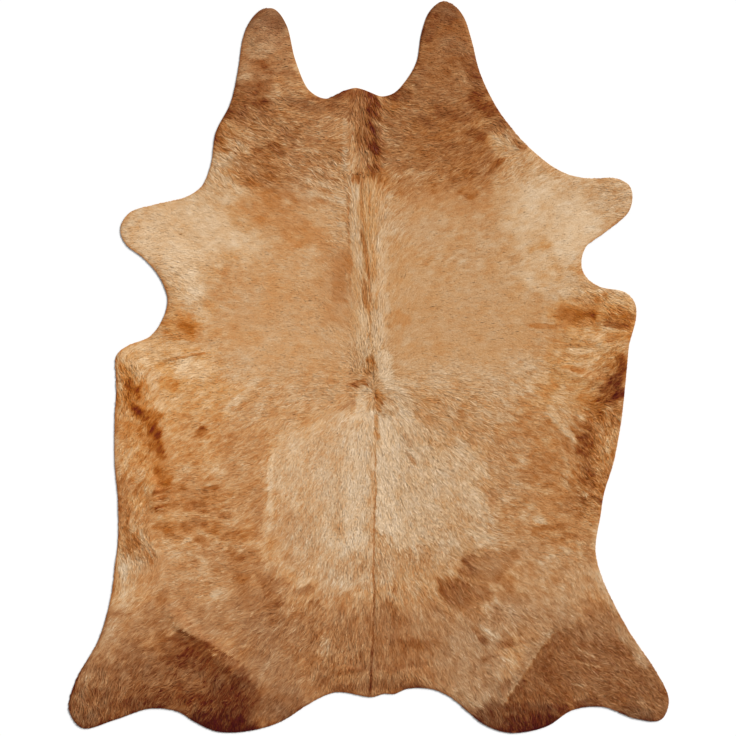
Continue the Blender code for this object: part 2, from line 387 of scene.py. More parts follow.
def lie_of_hair():
    """The way the tips point, as the x and y of a unit arrow in every cell."""
    x_way, y_way = np.zeros(GX.shape), np.zeros(GX.shape)
    for rows in LIE.values():
        for x, y, heading in rows:
            near = ((GX - x * MM) ** 2 + (GY - y * MM) ** 2 + LIE_REACH**2) ** -2
            x_way += near * math.cos(math.radians(heading))
            y_way += near * math.sin(math.radians(heading))
    length = np.hypot(x_way, y_way)
    x_way, y_way = x_way / length, y_way / length
    for band in BANDS:
        (x0, y0), (x1, y1) = np.array(band.start) * MM, np.array(band.end) * MM
        share = (GY - y0) / (y1 - y0)
        aside = (GX - x0 - share * (x1 - x0)) / (band.half_width * MM)
        ends = np.minimum(share, 1 - share) * abs(y1 - y0) / BAND_BORDER
        sides = (1 - np.abs(aside)) * band.half_width * MM / BAND_BORDER
        near = np.clip(np.minimum(ends, sides) + 0.5, 0, 1)
        turned = np.interp(aside, (-1, 0, 1), (band.left, band.middle, band.right))
        x_way += near * (np.cos(np.radians(turned)) - x_way)
        y_way += near * (np.sin(np.radians(turned)) - y_way)
    out_x, out_y = GX - WHORL[0], GY - WHORL[1]
    out = np.hypot(out_x, out_y) + 1e-6
    near = np.exp(-((out / WHORL_REACH) ** 2))
    x_way = x_way * (1 - near) + out_x / out * near
    y_way = y_way * (1 - near) + out_y / out * near
    length = np.hypot(x_way, y_way)
    return x_way / length, y_way / length


way_x, way_y = lie_of_hair()
print(sum(len(rows) for rows in LIE.values()), "places tell how the hair lies")

# %% [markdown]
# ## Combed noise
#
# Neighbouring hairs are nearly alike along their length and differ from side to side. So the
# small differences in a coat aren't round spots but streaks that run with the hair. They are made
# by taking smooth random noise and dragging it along the lie of the hair: each cell becomes the
# mean of the cells that lie before and behind it on its own stream.


# %% Noise, and noise dragged along the hair
def soft_noise(size, seed):
    """Random waves of about this size, with a mean of 0 and a spread of 1."""
    white = np.random.default_rng(seed).standard_normal(GX.shape)
    rows = np.fft.fftfreq(GX.shape[0], CELL)[:, None]
    columns = np.fft.rfftfreq(GX.shape[1], CELL)[None, :]
    kept = np.exp(-2 * (math.pi * size) ** 2 * (rows**2 + columns**2))
    waves = np.fft.irfft2(np.fft.rfft2(white) * kept, GX.shape)
    return waves / waves.std()


def streams(step, count):
    """Where each cell's stream runs, this many steps behind it and before it."""
    places = []
    for way in (-1, 1):
        x, y = GX, GY
        for _ in range(count):
            c = np.clip(((x - across[0]) / CELL + 0.5).astype(int), 0, len(across) - 1)
            r = np.clip(((y - along[0]) / CELL + 0.5).astype(int), 0, len(along) - 1)
            x, y = x + way * step * way_x[r, c], y + way * step * way_y[r, c]
            places.append((x, y))
    return places


def combed(noise, places):
    dragged = noise + sum(read(noise, x, y) for x, y in places)
    return dragged / dragged.std()


SHORT_WAY = (2.5 * MM, 3)  # how long a step is, and how many there are to each side
LONG_WAY = (4 * MM, 9)
short_streams, long_streams = streams(*SHORT_WAY), streams(*LONG_WAY)
strands = combed(soft_noise(1.3 * MM, seed=11), short_streams)
tufts = combed(soft_noise(2.7 * MM, seed=12), short_streams)
mottling = combed(soft_noise(5.5 * MM, seed=13), short_streams)
mane_strands = combed(soft_noise(1.6 * MM, seed=15), long_streams)
clouds = soft_noise(18 * MM, seed=14)
print("streaks: strands, tufts, mottling and the long strands of the mane")

# %% [markdown]
# ## The coat's colours
# Depth also carries painted shade and painted highlights: darker along the cut edge and in the
# creases and small folds, paler on the ridges beside them.
#
# A cow's coat has few pigments: a pale cream, a red-brown and a little black. What changes from
# place to place is how much of them there is, the depth, and how warm they are. So the coat is
# two fields. Depth goes from 0, cream, to just over 1, dark umber. Warmth goes from 0, greyish as
# on worn hair, to 1, orange as on the belly. Both are painted, to match tones measured in the
# photo: first the broad ground, one region after the other, then the markings on it.
#
# A paint stroke is a line with a width. Its edge isn't sharp, because a dark lock reaches over a
# pale one: the strokes are read at places that the streaks have pushed along the hair.

# %% Painting strokes
USUAL_COVER = 0.8  # how much of the coat beneath it a stroke hides, where its row doesn't say
COLUMNS = "place start end half_width depth warmth cover"  # lengths are in millimetres
Stroke = namedtuple("Stroke", COLUMNS, defaults=[USUAL_COVER])
depth = np.full(GX.shape, 0.28)
warmth = np.full(GX.shape, 0.52)
PUSH_ALONG = 4.5 * MM  # how far locks of one colour reach over the next
PUSH_ASIDE = 3 * MM
DRIFT = 4.5 * MM  # how far the border of a wide stroke wanders
PUSH_REACH = 60 * MM  # more than any place is pushed
WIDE_STROKE = 30 * MM  # a stroke less wide than this is pushed less
LEAST_PUSH, MOST_DRIFT = 0.3, 2
OVERLAP = 2 * MM  # how much of a mark the locks around it hide
reaching = PUSH_ALONG * (0.6 * strands + 0.7 * tufts)
push_x = reaching * way_x + PUSH_ASIDE * soft_noise(5 * MM, seed=21)
push_y = reaching * way_y + PUSH_ASIDE * soft_noise(5 * MM, seed=22)
drift_x, drift_y = (DRIFT * soft_noise(13 * MM, seed) for seed in (23, 24))


def eased(share):
    """From 0 to 1, gently at both ends."""
    share = np.clip(share, 0, 1)
    return share * share * (3 - 2 * share)


def paint(rows, soft):
    """Lays a table of strokes over the coat. Each has faded to half at its half width.

    soft is how wide the fading border is, as a share of the half width.
    """
    for stroke in (Stroke(*row) for row in rows):
        wide = stroke.half_width * MM + OVERLAP
        ends = np.array((stroke.start, stroke.end)) * MM
        reach = wide * (1 + soft / 2) + PUSH_REACH
        (left, near), (right, far) = ends.min(0) - reach, ends.max(0) + reach
        part = np.ix_((along > near) & (along < far), (across > left) & (across < right))
        pushed = min(1, max(LEAST_PUSH, wide / WIDE_STROKE))
        drifted = min(MOST_DRIFT, wide / WIDE_STROKE)
        x = GX[part] + pushed * push_x[part] + drifted * drift_x[part]
        y = GY[part] + pushed * push_y[part] + drifted * drift_y[part]
        away = beside(x, y, stroke.start, stroke.end)[1] / wide
        mask = stroke.cover * eased((1 + soft / 2 - away) / soft)
        depth[part] += mask * (stroke.depth - depth[part])
        warmth[part] += mask * (stroke.warmth - warmth[part])


# %% The ground: broad regions
GROUND = (
    ("left of the neck", (-420, 740), (-90, 730), 130, 0.45, 0.56, 1),
    ("pale rim below the neck, left", (-452, 650), (-490, 575), 34, 0.20, 0.42, 1),
    ("below the neck, left", (-345, 580), (-270, 560), 55, 0.48, 0.60, 1),
    ("beside the mane, left", (-220, 570), (-170, 530), 45, 0.36, 0.38, 1),
    ("below the neck, right", (220, 575), (320, 555), 60, 0.47, 0.66, 1),
    ("beside the mane, right", (90, 590), (140, 545), 45, 0.41, 0.54, 1),
    ("right of the neck", (90, 725), (390, 730), 125, 0.56, 0.62, 1),
    ("pale rim below the neck, right", (430, 670), (510, 590), 40, 0.24, 0.46, 1),
    ("left cheek", (-330, 890), (-310, 1090), 100, 0.46, 0.20, 1),
    ("right cheek", (225, 890), (230, 1110), 100, 0.54, 0.44, 1),
    ("pale left shoulder", (-450, 410), (-620, 410), 105, 0.13, 0.44, 1),
    ("left foreleg", (-640, 430), (-740, 430), 65, 0.15, 0.44, 1),
    ("straw below the right shoulder", (520, 300), (610, 310), 55, 0.17, 0.50, 1),
    ("pale right shoulder", (530, 460), (620, 460), 100, 0.14, 0.42, 1),
    ("right foreleg", (720, 510), (790, 520), 55, 0.22, 0.30, 1),
    ("caramel before the left shoulder", (-330, 500), (-250, 440), 55, 0.38, 0.72, 0.9),
    ("caramel beside that shoulder", (-405, 480), (-380, 440), 34, 0.30, 0.68, 0.9),
    ("straw before the right shoulder", (150, 460), (340, 470), 65, 0.34, 0.48, 0.9),
    ("left edge of the mane", (-110, 330), (-100, 180), 45, 0.38, 0.60),
    ("left of the middle", (-420, 230), (-200, 210), 90, 0.31, 0.56),
    ("left elbow", (-720, 40), (-520, 0), 55, 0.19, 0.95, 1),
    ("behind the left elbow", (-600, -110), (-480, -80), 70, 0.26, 0.95, 1),
    ("left belly", (-725, -60), (-705, -400), 48, 0.34, 1.08, 1),
    ("halo of the first patches", (-728, -80), (-692, -160), 26, 0.46, 1.15, 0.9),
    ("halo of the lower patches", (-678, -185), (-640, -280), 27, 0.48, 1.10, 0.9),
    ("halo of the rungs", (-638, -310), (-626, -430), 26, 0.50, 0.98, 0.9),
    ("left side", (-560, -240), (-460, -260), 70, 0.34, 0.85, 1),
    ("left flank", (-600, -440), (-450, -450), 80, 0.45, 0.76, 1),
    ("left of the pale back", (-385, -240), (-390, -480), 62, 0.38, 0.58, 1),
    ("above the pale back", (-330, -150), (-200, -90), 40, 0.30, 0.52, 0.7),
    ("left of the whorl", (-200, -36), (-70, -28), 26, 0.33, 0.60),
    ("left loin", (-640, -640), (-480, -655), 70, 0.37, 0.40, 1),
    ("left loin beside the back", (-480, -588), (-385, -600), 38, 0.48, 0.56, 1),
    ("right elbow", (600, 150), (790, 140), 48, 0.32, 1.14, 1),
    ("right belly, upper", (590, 40), (740, 50), 45, 0.29, 0.98, 1),
    ("right side", (530, -70), (640, -80), 65, 0.28, 0.98, 1),
    ("right belly", (730, -60), (690, -420), 55, 0.42, 0.92, 1),
    ("halo of the dark edge", (785, -10), (748, -90), 32, 0.54, 0.88, 0.9),
    ("halo below it", (715, -120), (668, -250), 30, 0.50, 0.88, 0.9),
    ("halo of the lower belly", (668, -260), (664, -400), 24, 0.50, 0.80, 0.9),
    ("right flank", (510, -220), (570, -480), 85, 0.39, 0.72, 1),
    ("right of the pale back", (430, -230), (450, -540), 55, 0.36, 0.56, 1),
    ("right loin", (500, -620), (640, -690), 80, 0.33, 0.36, 1),
    ("rump", (-200, -880), (220, -880), 150, 0.49, 0.32, 1),
    ("left of the rump", (-350, -750), (-290, -980), 85, 0.52, 0.14, 1),
    ("right of the rump", (320, -860), (345, -1010), 85, 0.39, -0.04, 1),
    ("above the left thigh", (-640, -755), (-440, -795), 44, 0.46, 0.22, 1),
    ("above the right thigh", (430, -770), (580, -770), 60, 0.38, 0.10, 1),
    ("front of the left hind leg", (-780, -770), (-830, -850), 36, 0.42, 0.16, 1),
    ("top of the left hind leg", (-690, -790), (-735, -860), 46, 0.51, 0.22, 1),
    ("front of the right hind leg", (690, -760), (770, -810), 46, 0.50, 0.36, 1),
    ("left thigh", (-560, -940), (-440, -1090), 105, 0.77, 0.30, 1),
    ("right part of the left thigh", (-400, -945), (-358, -1040), 28, 0.80, 0.16, 1),
    ("left hind leg", (-690, -1000), (-870, -1040), 110, 0.66, 0.20, 1),
    ("front edge of the left leg", (-745, -890), (-850, -930), 40, 0.60, 0.18, 1),
    ("right thigh", (580, -920), (500, -1090), 90, 0.67, 0.36, 1),
    ("right hind leg", (670, -900), (870, -1040), 110, 0.62, 0.27, 1),
    ("between the left thigh and the tail", (-300, -1066), (-230, -1040), 42, 0.62, 0.06, 1),
    ("left of the right thigh", (362, -1084), (398, -1052), 28, 0.70, 0.04, 1),
    ("top of the left leg's front", (-745, -742), (-706, -768), 15, 0.31, 0.06, 0.9),
    ("straw right of the whorl", (120, -52), (470, -24), 60, 0.225, 0.44, 0.7),
    ("straw before the middle", (170, 440), (330, 360), 60, 0.27, 0.36),
)
paint(GROUND, 0.9)

# %% The pale back
PALE_BACK = (
    ("below the whorl", (-60, -190), (120, -190), 44, 0.03, 0.30, 0.9),
    ("upper left corner", (-268, -258), (-120, -206), 40, 0.19, 0.54, 0.95),
    ("left half", (-215, -300), (-215, -470), 80, 0.235, 0.36, 1),
    ("lower left corner", (-245, -500), (-220, -565), 62, 0.31, 0.20, 0.9),
    ("left of the middle", (-80, -240), (-80, -570), 85, 0.22, 0.24, 1),
    ("bright left of the parting", (-30, -190), (-45, -520), 36, 0.13, 0.18, 0.9),
    ("right of the middle", (110, -240), (130, -490), 86, 0.15, 0.36, 1),
    ("bright right of the parting", (60, -180), (58, -500), 32, 0.06, 0.22, 0.9),
    ("right half", (255, -310), (265, -460), 90, 0.16, 0.44, 1),
    ("lower right corner", (260, -505), (345, -515), 42, 0.22, 0.38, 0.9),
    ("end of the pale back", (-120, -640), (50, -632), 38, 0.29, 0.10),
    ("its right part", (118, -592), (172, -590), 32, 0.34, 0.40),
    ("upper right edge", (150, -205), (250, -232), 20, 0.23, 0.56, 0.7),
    ("shade outside the left edge", (-346, -262), (-344, -370), 16, 0.36, 0.60, 0.9),
    ("its lower part", (-342, -385), (-340, -520), 14, 0.43, 0.46, 0.9),
    ("bright rim of the left edge", (-300, -278), (-303, -342), 6, 0.07, 0.42, 0.9),
    ("pale rim below it", (-304, -350), (-306, -505), 6, 0.19, 0.30, 0.9),
    ("outside the right edge", (378, -385), (384, -430), 13, 0.38, 0.40, 0.9),
    ("upper right corner", (340, -282), (354, -300), 18, 0.21, 0.42, 0.9),
    ("bright of the left half", (-232, -270), (-215, -286), 15, 0.11, 0.36),
)
paint(PALE_BACK, 0.35)
print("painted", len(GROUND) + len(PALE_BACK), "regions of ground")

# %% [markdown]
# ## Markings
#
# On the ground come the markings: dark bands over the neck, rust-red patches along the belly,
# brown blotches over the loins, and the worn and rubbed places where the coat is pale. Along the
# creases and small folds, strokes also lay painted shade and painted highlights into the coat.

# %% Markings of the neck
NECK = (
    ("tip of the left cheek", (-340, 1085), (-285, 1060), 42, 0.65, -0.02, 0.9),
    ("below the tip", (-330, 1025), (-285, 1010), 26, 0.52, 0.10),
    ("pale middle of the cheek", (-355, 980), (-320, 975), 26, 0.39, 0.05, 0.9),
    ("smudge of the left cheek", (-352, 930), (-332, 924), 18, 0.65, 0.50, 0.9),
    ("line of the left cheek", (-262, 905), (-228, 898), 8, 0.58, 0.30),
    ("dark upper neck, left", (-395, 835), (-320, 830), 40, 0.62, 0.52, 0.85),
    ("upper dark patch, left", (-378, 855), (-348, 852), 12, 0.70, 0.58),
    ("lower dark patch, left", (-396, 818), (-320, 810), 16, 0.72, 0.60),
    ("pale column", (-272, 884), (-266, 760), 16, 0.40, 0.46, 0.85),
    ("band below the left notch", (-235, 806), (-110, 812), 20, 0.64, 0.38, 0.85),
    ("paler below the band", (-230, 760), (-120, 745), 28, 0.44, 0.40, 0.7),
    ("dark rim of the left neck", (-425, 785), (-400, 770), 22, 0.74, 0.75, 0.9),
    ("band from that rim", (-390, 772), (-310, 762), 16, 0.62, 0.55),
    ("dark rim above the gold", (-456, 736), (-436, 750), 10, 0.66, 0.78, 0.9),
    ("golden rim", (-432, 738), (-400, 720), 16, 0.36, 0.72),
    ("rust rim", (-474, 708), (-440, 690), 10, 0.62, 0.90, 0.9),
    ("pale strands beside it", (-430, 688), (-375, 668), 16, 0.31, 0.52, 0.9),
    ("dark thin line", (-462, 672), (-428, 664), 4, 0.58, 0.80),
    ("mottled brown", (-270, 731), (-230, 720), 15, 0.58, 0.54),
    ("brown between the patches", (-250, 650), (-228, 640), 12, 0.58, 0.62, 0.85),
    ("brown above the waves", (-176, 634), (-140, 618), 11, 0.58, 0.70, 0.9),
    ("rim of the nape, left", (-110, 842), (-20, 838), 19, 0.78, 0.44, 0.85),
    ("brown below that rim", (-108, 795), (-72, 778), 18, 0.64, 0.50, 0.85),
    ("rim of the nape, right", (74, 842), (118, 836), 17, 0.74, 0.42, 0.85),
    ("rim of the right notch", (152, 868), (165, 920), 12, 0.68, 0.44),
    ("streak beside the mottles", (-270, 706), (-232, 698), 9, 0.62, 0.52),
    ("brown patch, left", (-298, 680), (-270, 662), 14, 0.66, 0.55, 0.9),
    ("brown streak beside it", (-355, 668), (-332, 660), 8, 0.64, 0.60),
    ("small rust streak", (-392, 644), (-368, 636), 8, 0.60, 0.85),
    ("brown below the patch", (-318, 640), (-304, 614), 11, 0.60, 0.70, 0.85),
    ("brown above the shoulder", (-322, 594), (-300, 584), 8, 0.58, 0.85),
    ("second above the shoulder", (-368, 572), (-338, 566), 8, 0.54, 0.85),
    ("caramel of the lower neck", (-280, 610), (-215, 590), 24, 0.46, 0.60, 0.6),
    ("pale edge of the left neck", (-464, 562), (-425, 548), 26, 0.17, 0.46, 0.9),
    ("honey of that edge", (-448, 602), (-432, 596), 9, 0.38, 0.85),
    ("pale left shoulder top", (-440, 545), (-390, 520), 34, 0.20, 0.40),
    ("caramel shoulder", (-340, 530), (-280, 505), 28, 0.43, 0.88, 0.7),
    ("caramel beside the mane", (-235, 408), (-135, 388), 32, 0.40, 0.90, 0.75),
    ("first pale wave", (-190, 644), (-110, 622), 5, 0.36, 0.40, 0.7),
    ("second pale wave", (-180, 612), (-95, 584), 8, 0.28, 0.30),
    ("third pale wave", (-190, 575), (-85, 545), 8, 0.24, 0.28, 0.9),
    ("fourth pale wave", (-170, 536), (-80, 510), 8, 0.22, 0.28, 0.9),
    ("fifth pale wave", (-160, 498), (-85, 478), 7, 0.25, 0.34),
    ("brown between the waves", (-165, 598), (-100, 570), 4, 0.52, 0.50, 0.7),
    ("tip of the right cheek", (215, 1092), (248, 1088), 32, 0.72, 0.24),
    ("dark edge of the right cheek", (196, 1070), (178, 1015), 18, 0.72, 0.40),
    ("paler right cheek", (240, 1000), (272, 975), 26, 0.54, 0.22),
    ("reddish rim", (310, 946), (346, 850), 20, 0.72, 0.62, 0.9),
    ("rust corner", (320, 822), (385, 786), 22, 0.78, 0.74, 0.9),
    ("start of the dark band", (158, 765), (196, 742), 14, 0.66, 0.48, 0.9),
    ("dark band", (210, 786), (300, 772), 15, 0.70, 0.56, 0.9),
    ("darkest of the neck", (324, 724), (350, 704), 14, 0.76, 0.74, 0.9),
    ("below the band", (225, 684), (310, 668), 11, 0.62, 0.54),
    ("wisps in the band", (328, 744), (374, 758), 6, 0.40, 0.60),
    ("golden triangle", (376, 698), (416, 680), 20, 0.30, 0.76, 0.85),
    ("bright in the triangle", (384, 708), (400, 690), 7, 0.18, 0.62),
    ("dark rim, right", (398, 752), (430, 732), 8, 0.74, 0.62, 0.9),
    ("pinkish rim", (428, 718), (448, 700), 10, 0.34, 0.44),
    ("rust streak", (366, 600), (406, 632), 9, 0.66, 0.80, 0.9),
    ("brown before the streak", (300, 600), (332, 592), 9, 0.60, 0.72),
    ("smudge above the shoulder", (262, 580), (308, 572), 9, 0.60, 0.68),
    ("smudge, right", (292, 542), (328, 530), 12, 0.55, 0.88),
    ("darkest of the smudge", (300, 528), (312, 522), 6, 0.62, 0.90),
    ("brown beside the mane", (76, 566), (88, 536), 11, 0.47, 0.66, 0.9),
    ("peach strands", (44, 740), (58, 694), 6, 0.34, 0.52),
    ("pale wave, right", (90, 640), (150, 655), 6, 0.38, 0.40, 0.7),
    ("second pale wave, right", (110, 600), (210, 590), 9, 0.34, 0.50),
    ("straw of the left shoulder top", (-385, 505), (-350, 490), 22, 0.38, 0.78),
    ("straw below the right rim", (458, 574), (480, 560), 16, 0.14, 0.28),
    ("brown of the left neck", (-182, 704), (-160, 694), 12, 0.58, 0.54),
    ("small dark rim", (454, 688), (478, 672), 8, 0.68, 0.72, 0.9),
)
paint(NECK, 0.7)

# %% Markings of the shoulders and forelegs
SHOULDERS = (
    ("pink left foot", (-742, 440), (-712, 466), 22, 0.20, 0.30),
    ("pinkish left foreleg", (-620, 500), (-560, 508), 16, 0.22, 0.60, 0.7),
    ("brightest of the left shoulder", (-560, 330), (-550, 250), 44, 0.06, 0.42, 0.9),
    ("smudge of the left shoulder", (-446, 346), (-422, 350), 18, 0.30, 0.80),
    ("left armpit", (-590, 260), (-600, 220), 22, 0.22, 0.72),
    ("pink right foot", (768, 548), (798, 530), 22, 0.27, 0.45),
    ("brightest of the right shoulder", (655, 440), (595, 370), 42, 0.06, 0.36, 0.9),
    ("bright top of the right shoulder", (548, 575), (520, 525), 34, 0.10, 0.32),
    ("honey streak", (490, 362), (545, 374), 12, 0.27, 0.90),
    ("right armpit", (640, 300), (655, 280), 20, 0.30, 0.80),
    ("caramel of the right foreleg", (550, 606), (585, 590), 18, 0.30, 0.70),
)
paint(SHOULDERS, 1.1)

# %% Markings of the left side
LEFT_SIDE = (
    ("orange of the armpit", (-600, 176), (-575, 150), 26, 0.36, 1.05, 0.85),
    ("orange patch", (-608, 120), (-548, 126), 27, 0.42, 1.25, 0.9),
    ("its darkest part", (-572, 128), (-552, 116), 14, 0.62, 1.35, 0.9),
    ("orange below", (-604, 94), (-544, 92), 10, 0.40, 1.20),
    ("pale beside the orange", (-522, 175), (-510, 140), 13, 0.16, 0.60),
    ("honey of the elbow", (-640, 0), (-600, 0), 13, 0.34, 1.35, 0.85),
    ("honey spot", (-494, 172), (-484, 192), 18, 0.28, 0.95, 0.7),
    ("honey streak", (-486, 104), (-462, 106), 10, 0.32, 0.85, 0.7),
    # Painted shade in the fine crease behind the elbow.
    ("fine line behind the elbow", (-628, 20), (-508, 44), 2, 0.50, 1.00, 0.9),
    ("bright behind the elbow", (-572, 2), (-515, -18), 22, 0.09, 0.75, 0.9),
    ("bright strip", (-702, -20), (-656, -58), 15, 0.12, 0.60, 0.85),
    ("orange spot", (-622, -48), (-596, -58), 16, 0.34, 1.35, 0.9),
    ("pale diagonal streak", (-432, -132), (-352, -38), 10, 0.17, 0.40),
    ("second pale streak", (-405, -60), (-350, -10), 7, 0.18, 0.45, 0.6),
    ("shade beside the streak", (-412, -130), (-385, -118), 8, 0.38, 0.60, 0.7),
    ("orange elbow edge", (-760, -6), (-745, -30), 14, 0.40, 1.25, 0.9),
    ("golden belly edge", (-758, -84), (-752, -180), 13, 0.36, 0.98, 0.85),
    ("its lower part", (-752, -200), (-750, -305), 13, 0.37, 1.02, 0.85),
    ("first rust patch", (-744, -56), (-722, -72), 13, 0.76, 1.22, 0.95),
    ("its lower end", (-732, -88), (-714, -94), 9, 0.60, 1.22, 0.9),
    ("second rust patch", (-718, -134), (-688, -144), 18, 0.88, 1.26, 0.97),
    ("its tail", (-686, -128), (-650, -150), 12, 0.62, 1.22, 0.9),
    ("orange above it", (-690, -112), (-668, -120), 12, 0.46, 1.25, 0.85),
    ("third rust patch", (-668, -180), (-660, -212), 15, 0.80, 1.26, 0.97),
    ("small rust patch", (-718, -190), (-702, -206), 8, 0.52, 1.15, 0.9),
    ("brown below it", (-690, -214), (-670, -228), 12, 0.54, 1.12, 0.9),
    ("fourth rust patch", (-658, -244), (-636, -268), 13, 0.76, 1.20, 0.95),
    ("its streaks", (-676, -258), (-650, -250), 5, 0.60, 1.10),
    ("orange below it", (-688, -284), (-656, -292), 10, 0.48, 1.10),
    ("pale gap", (-676, -302), (-652, -318), 9, 0.22, 0.85),
    ("fifth rust patch", (-654, -316), (-636, -330), 10, 0.64, 1.00, 0.9),
    ("brown beside it", (-626, -326), (-608, -334), 9, 0.54, 0.95, 0.85),
    ("between the rungs", (-642, -354), (-618, -350), 7, 0.58, 1.00),
    # Painted shadows of the rungs, the small folds of the left belly: each dark line lies below its
    # fold.
    ("first rung", (-656, -386), (-632, -380), 6, 0.75, 1.00, 0.9),
    ("its upper end", (-632, -380), (-612, -372), 1, 0.64, 1.00),
    ("second rung", (-656, -405), (-628, -397), 5, 0.66, 1.00, 0.85),
    ("third rung", (-650, -431), (-622, -423), 1, 0.66, 1.00, 0.85),
    ("its thin end", (-622, -423), (-560, -405), 0, 0.56, 0.95),
    ("knot of the rungs", (-657, -436), (-654, -444), 3, 0.76, 1.00, 0.9),
    ("brown of the belly edge", (-752, -360), (-722, -376), 20, 0.56, 0.92, 0.9),
    ("thin line of the belly", (-714, -366), (-676, -394), 4, 0.46, 0.90),
    ("lower belly edge", (-757, -398), (-750, -500), 13, 0.54, 0.72, 0.85),
    ("curly brown patch", (-730, -525), (-714, -575), 20, 0.50, 0.80, 0.9),
    ("dark curl", (-724, -532), (-716, -540), 7, 0.62, 0.80),
    ("second dark curl", (-718, -552), (-710, -560), 6, 0.60, 0.80),
    ("line of the curly patch", (-686, -570), (-668, -600), 5, 0.54, 0.80, 0.9),
    ("pale edge of the loin", (-755, -612), (-752, -645), 9, 0.20, 0.00, 0.9),
    ("pale edge below", (-730, -716), (-722, -740), 13, 0.26, 0.20),
    ("dark spot", (-518, -200), (-508, -196), 12, 0.74, 0.92, 0.95),
    ("its shade", (-538, -208), (-500, -210), 10, 0.44, 0.85, 0.7),
    ("streak of the flank", (-520, -344), (-478, -344), 5, 0.48, 0.80),
    ("second streak", (-502, -378), (-474, -372), 9, 0.60, 0.80, 0.85),
    ("third streak", (-545, -424), (-505, -432), 11, 0.62, 0.80, 0.85),
    ("fourth streak", (-660, -492), (-620, -506), 5, 0.52, 0.85, 0.85),
    ("fifth streak", (-576, -484), (-504, -476), 8, 0.60, 0.78, 0.9),
    ("sixth streak", (-620, -520), (-578, -526), 6, 0.52, 0.80),
    ("seventh streak", (-534, -518), (-500, -548), 8, 0.56, 0.80),
    ("eighth streak", (-470, -456), (-430, -460), 9, 0.50, 0.62),
    ("ninth streak", (-440, -522), (-402, -500), 10, 0.50, 0.62),
    ("pale above the streaks", (-636, -466), (-560, -452), 13, 0.27, 0.66, 0.85),
    ("pale spot of the flank", (-496, -306), (-478, -322), 15, 0.22, 0.60),
    ("pale streak of the loin", (-524, -568), (-512, -600), 13, 0.22, 0.25, 0.9),
    ("small pale tuft", (-584, -590), (-572, -590), 7, 0.26, 0.40),
    ("pale spot of the loin", (-472, -696), (-450, -700), 17, 0.24, 0.05),
    ("brown of the loin", (-390, -644), (-350, -630), 20, 0.54, 0.44, 0.75),
    ("brown above the thigh", (-648, -748), (-632, -700), 13, 0.52, 0.46),
    ("tan of the loin", (-560, -690), (-530, -740), 22, 0.44, 0.34, 0.5),
    ("caramel of the left side", (-516, -158), (-436, -154), 13, 0.38, 1.05),
    ("honey of the flank", (-590, -545), (-550, -548), 15, 0.40, 0.84),
    ("pale beside the patches", (-608, -180), (-600, -200), 13, 0.19, 0.85),
    ("pale left of the rungs", (-716, -316), (-708, -338), 14, 0.25, 0.62),
)
paint(LEFT_SIDE, 0.6)

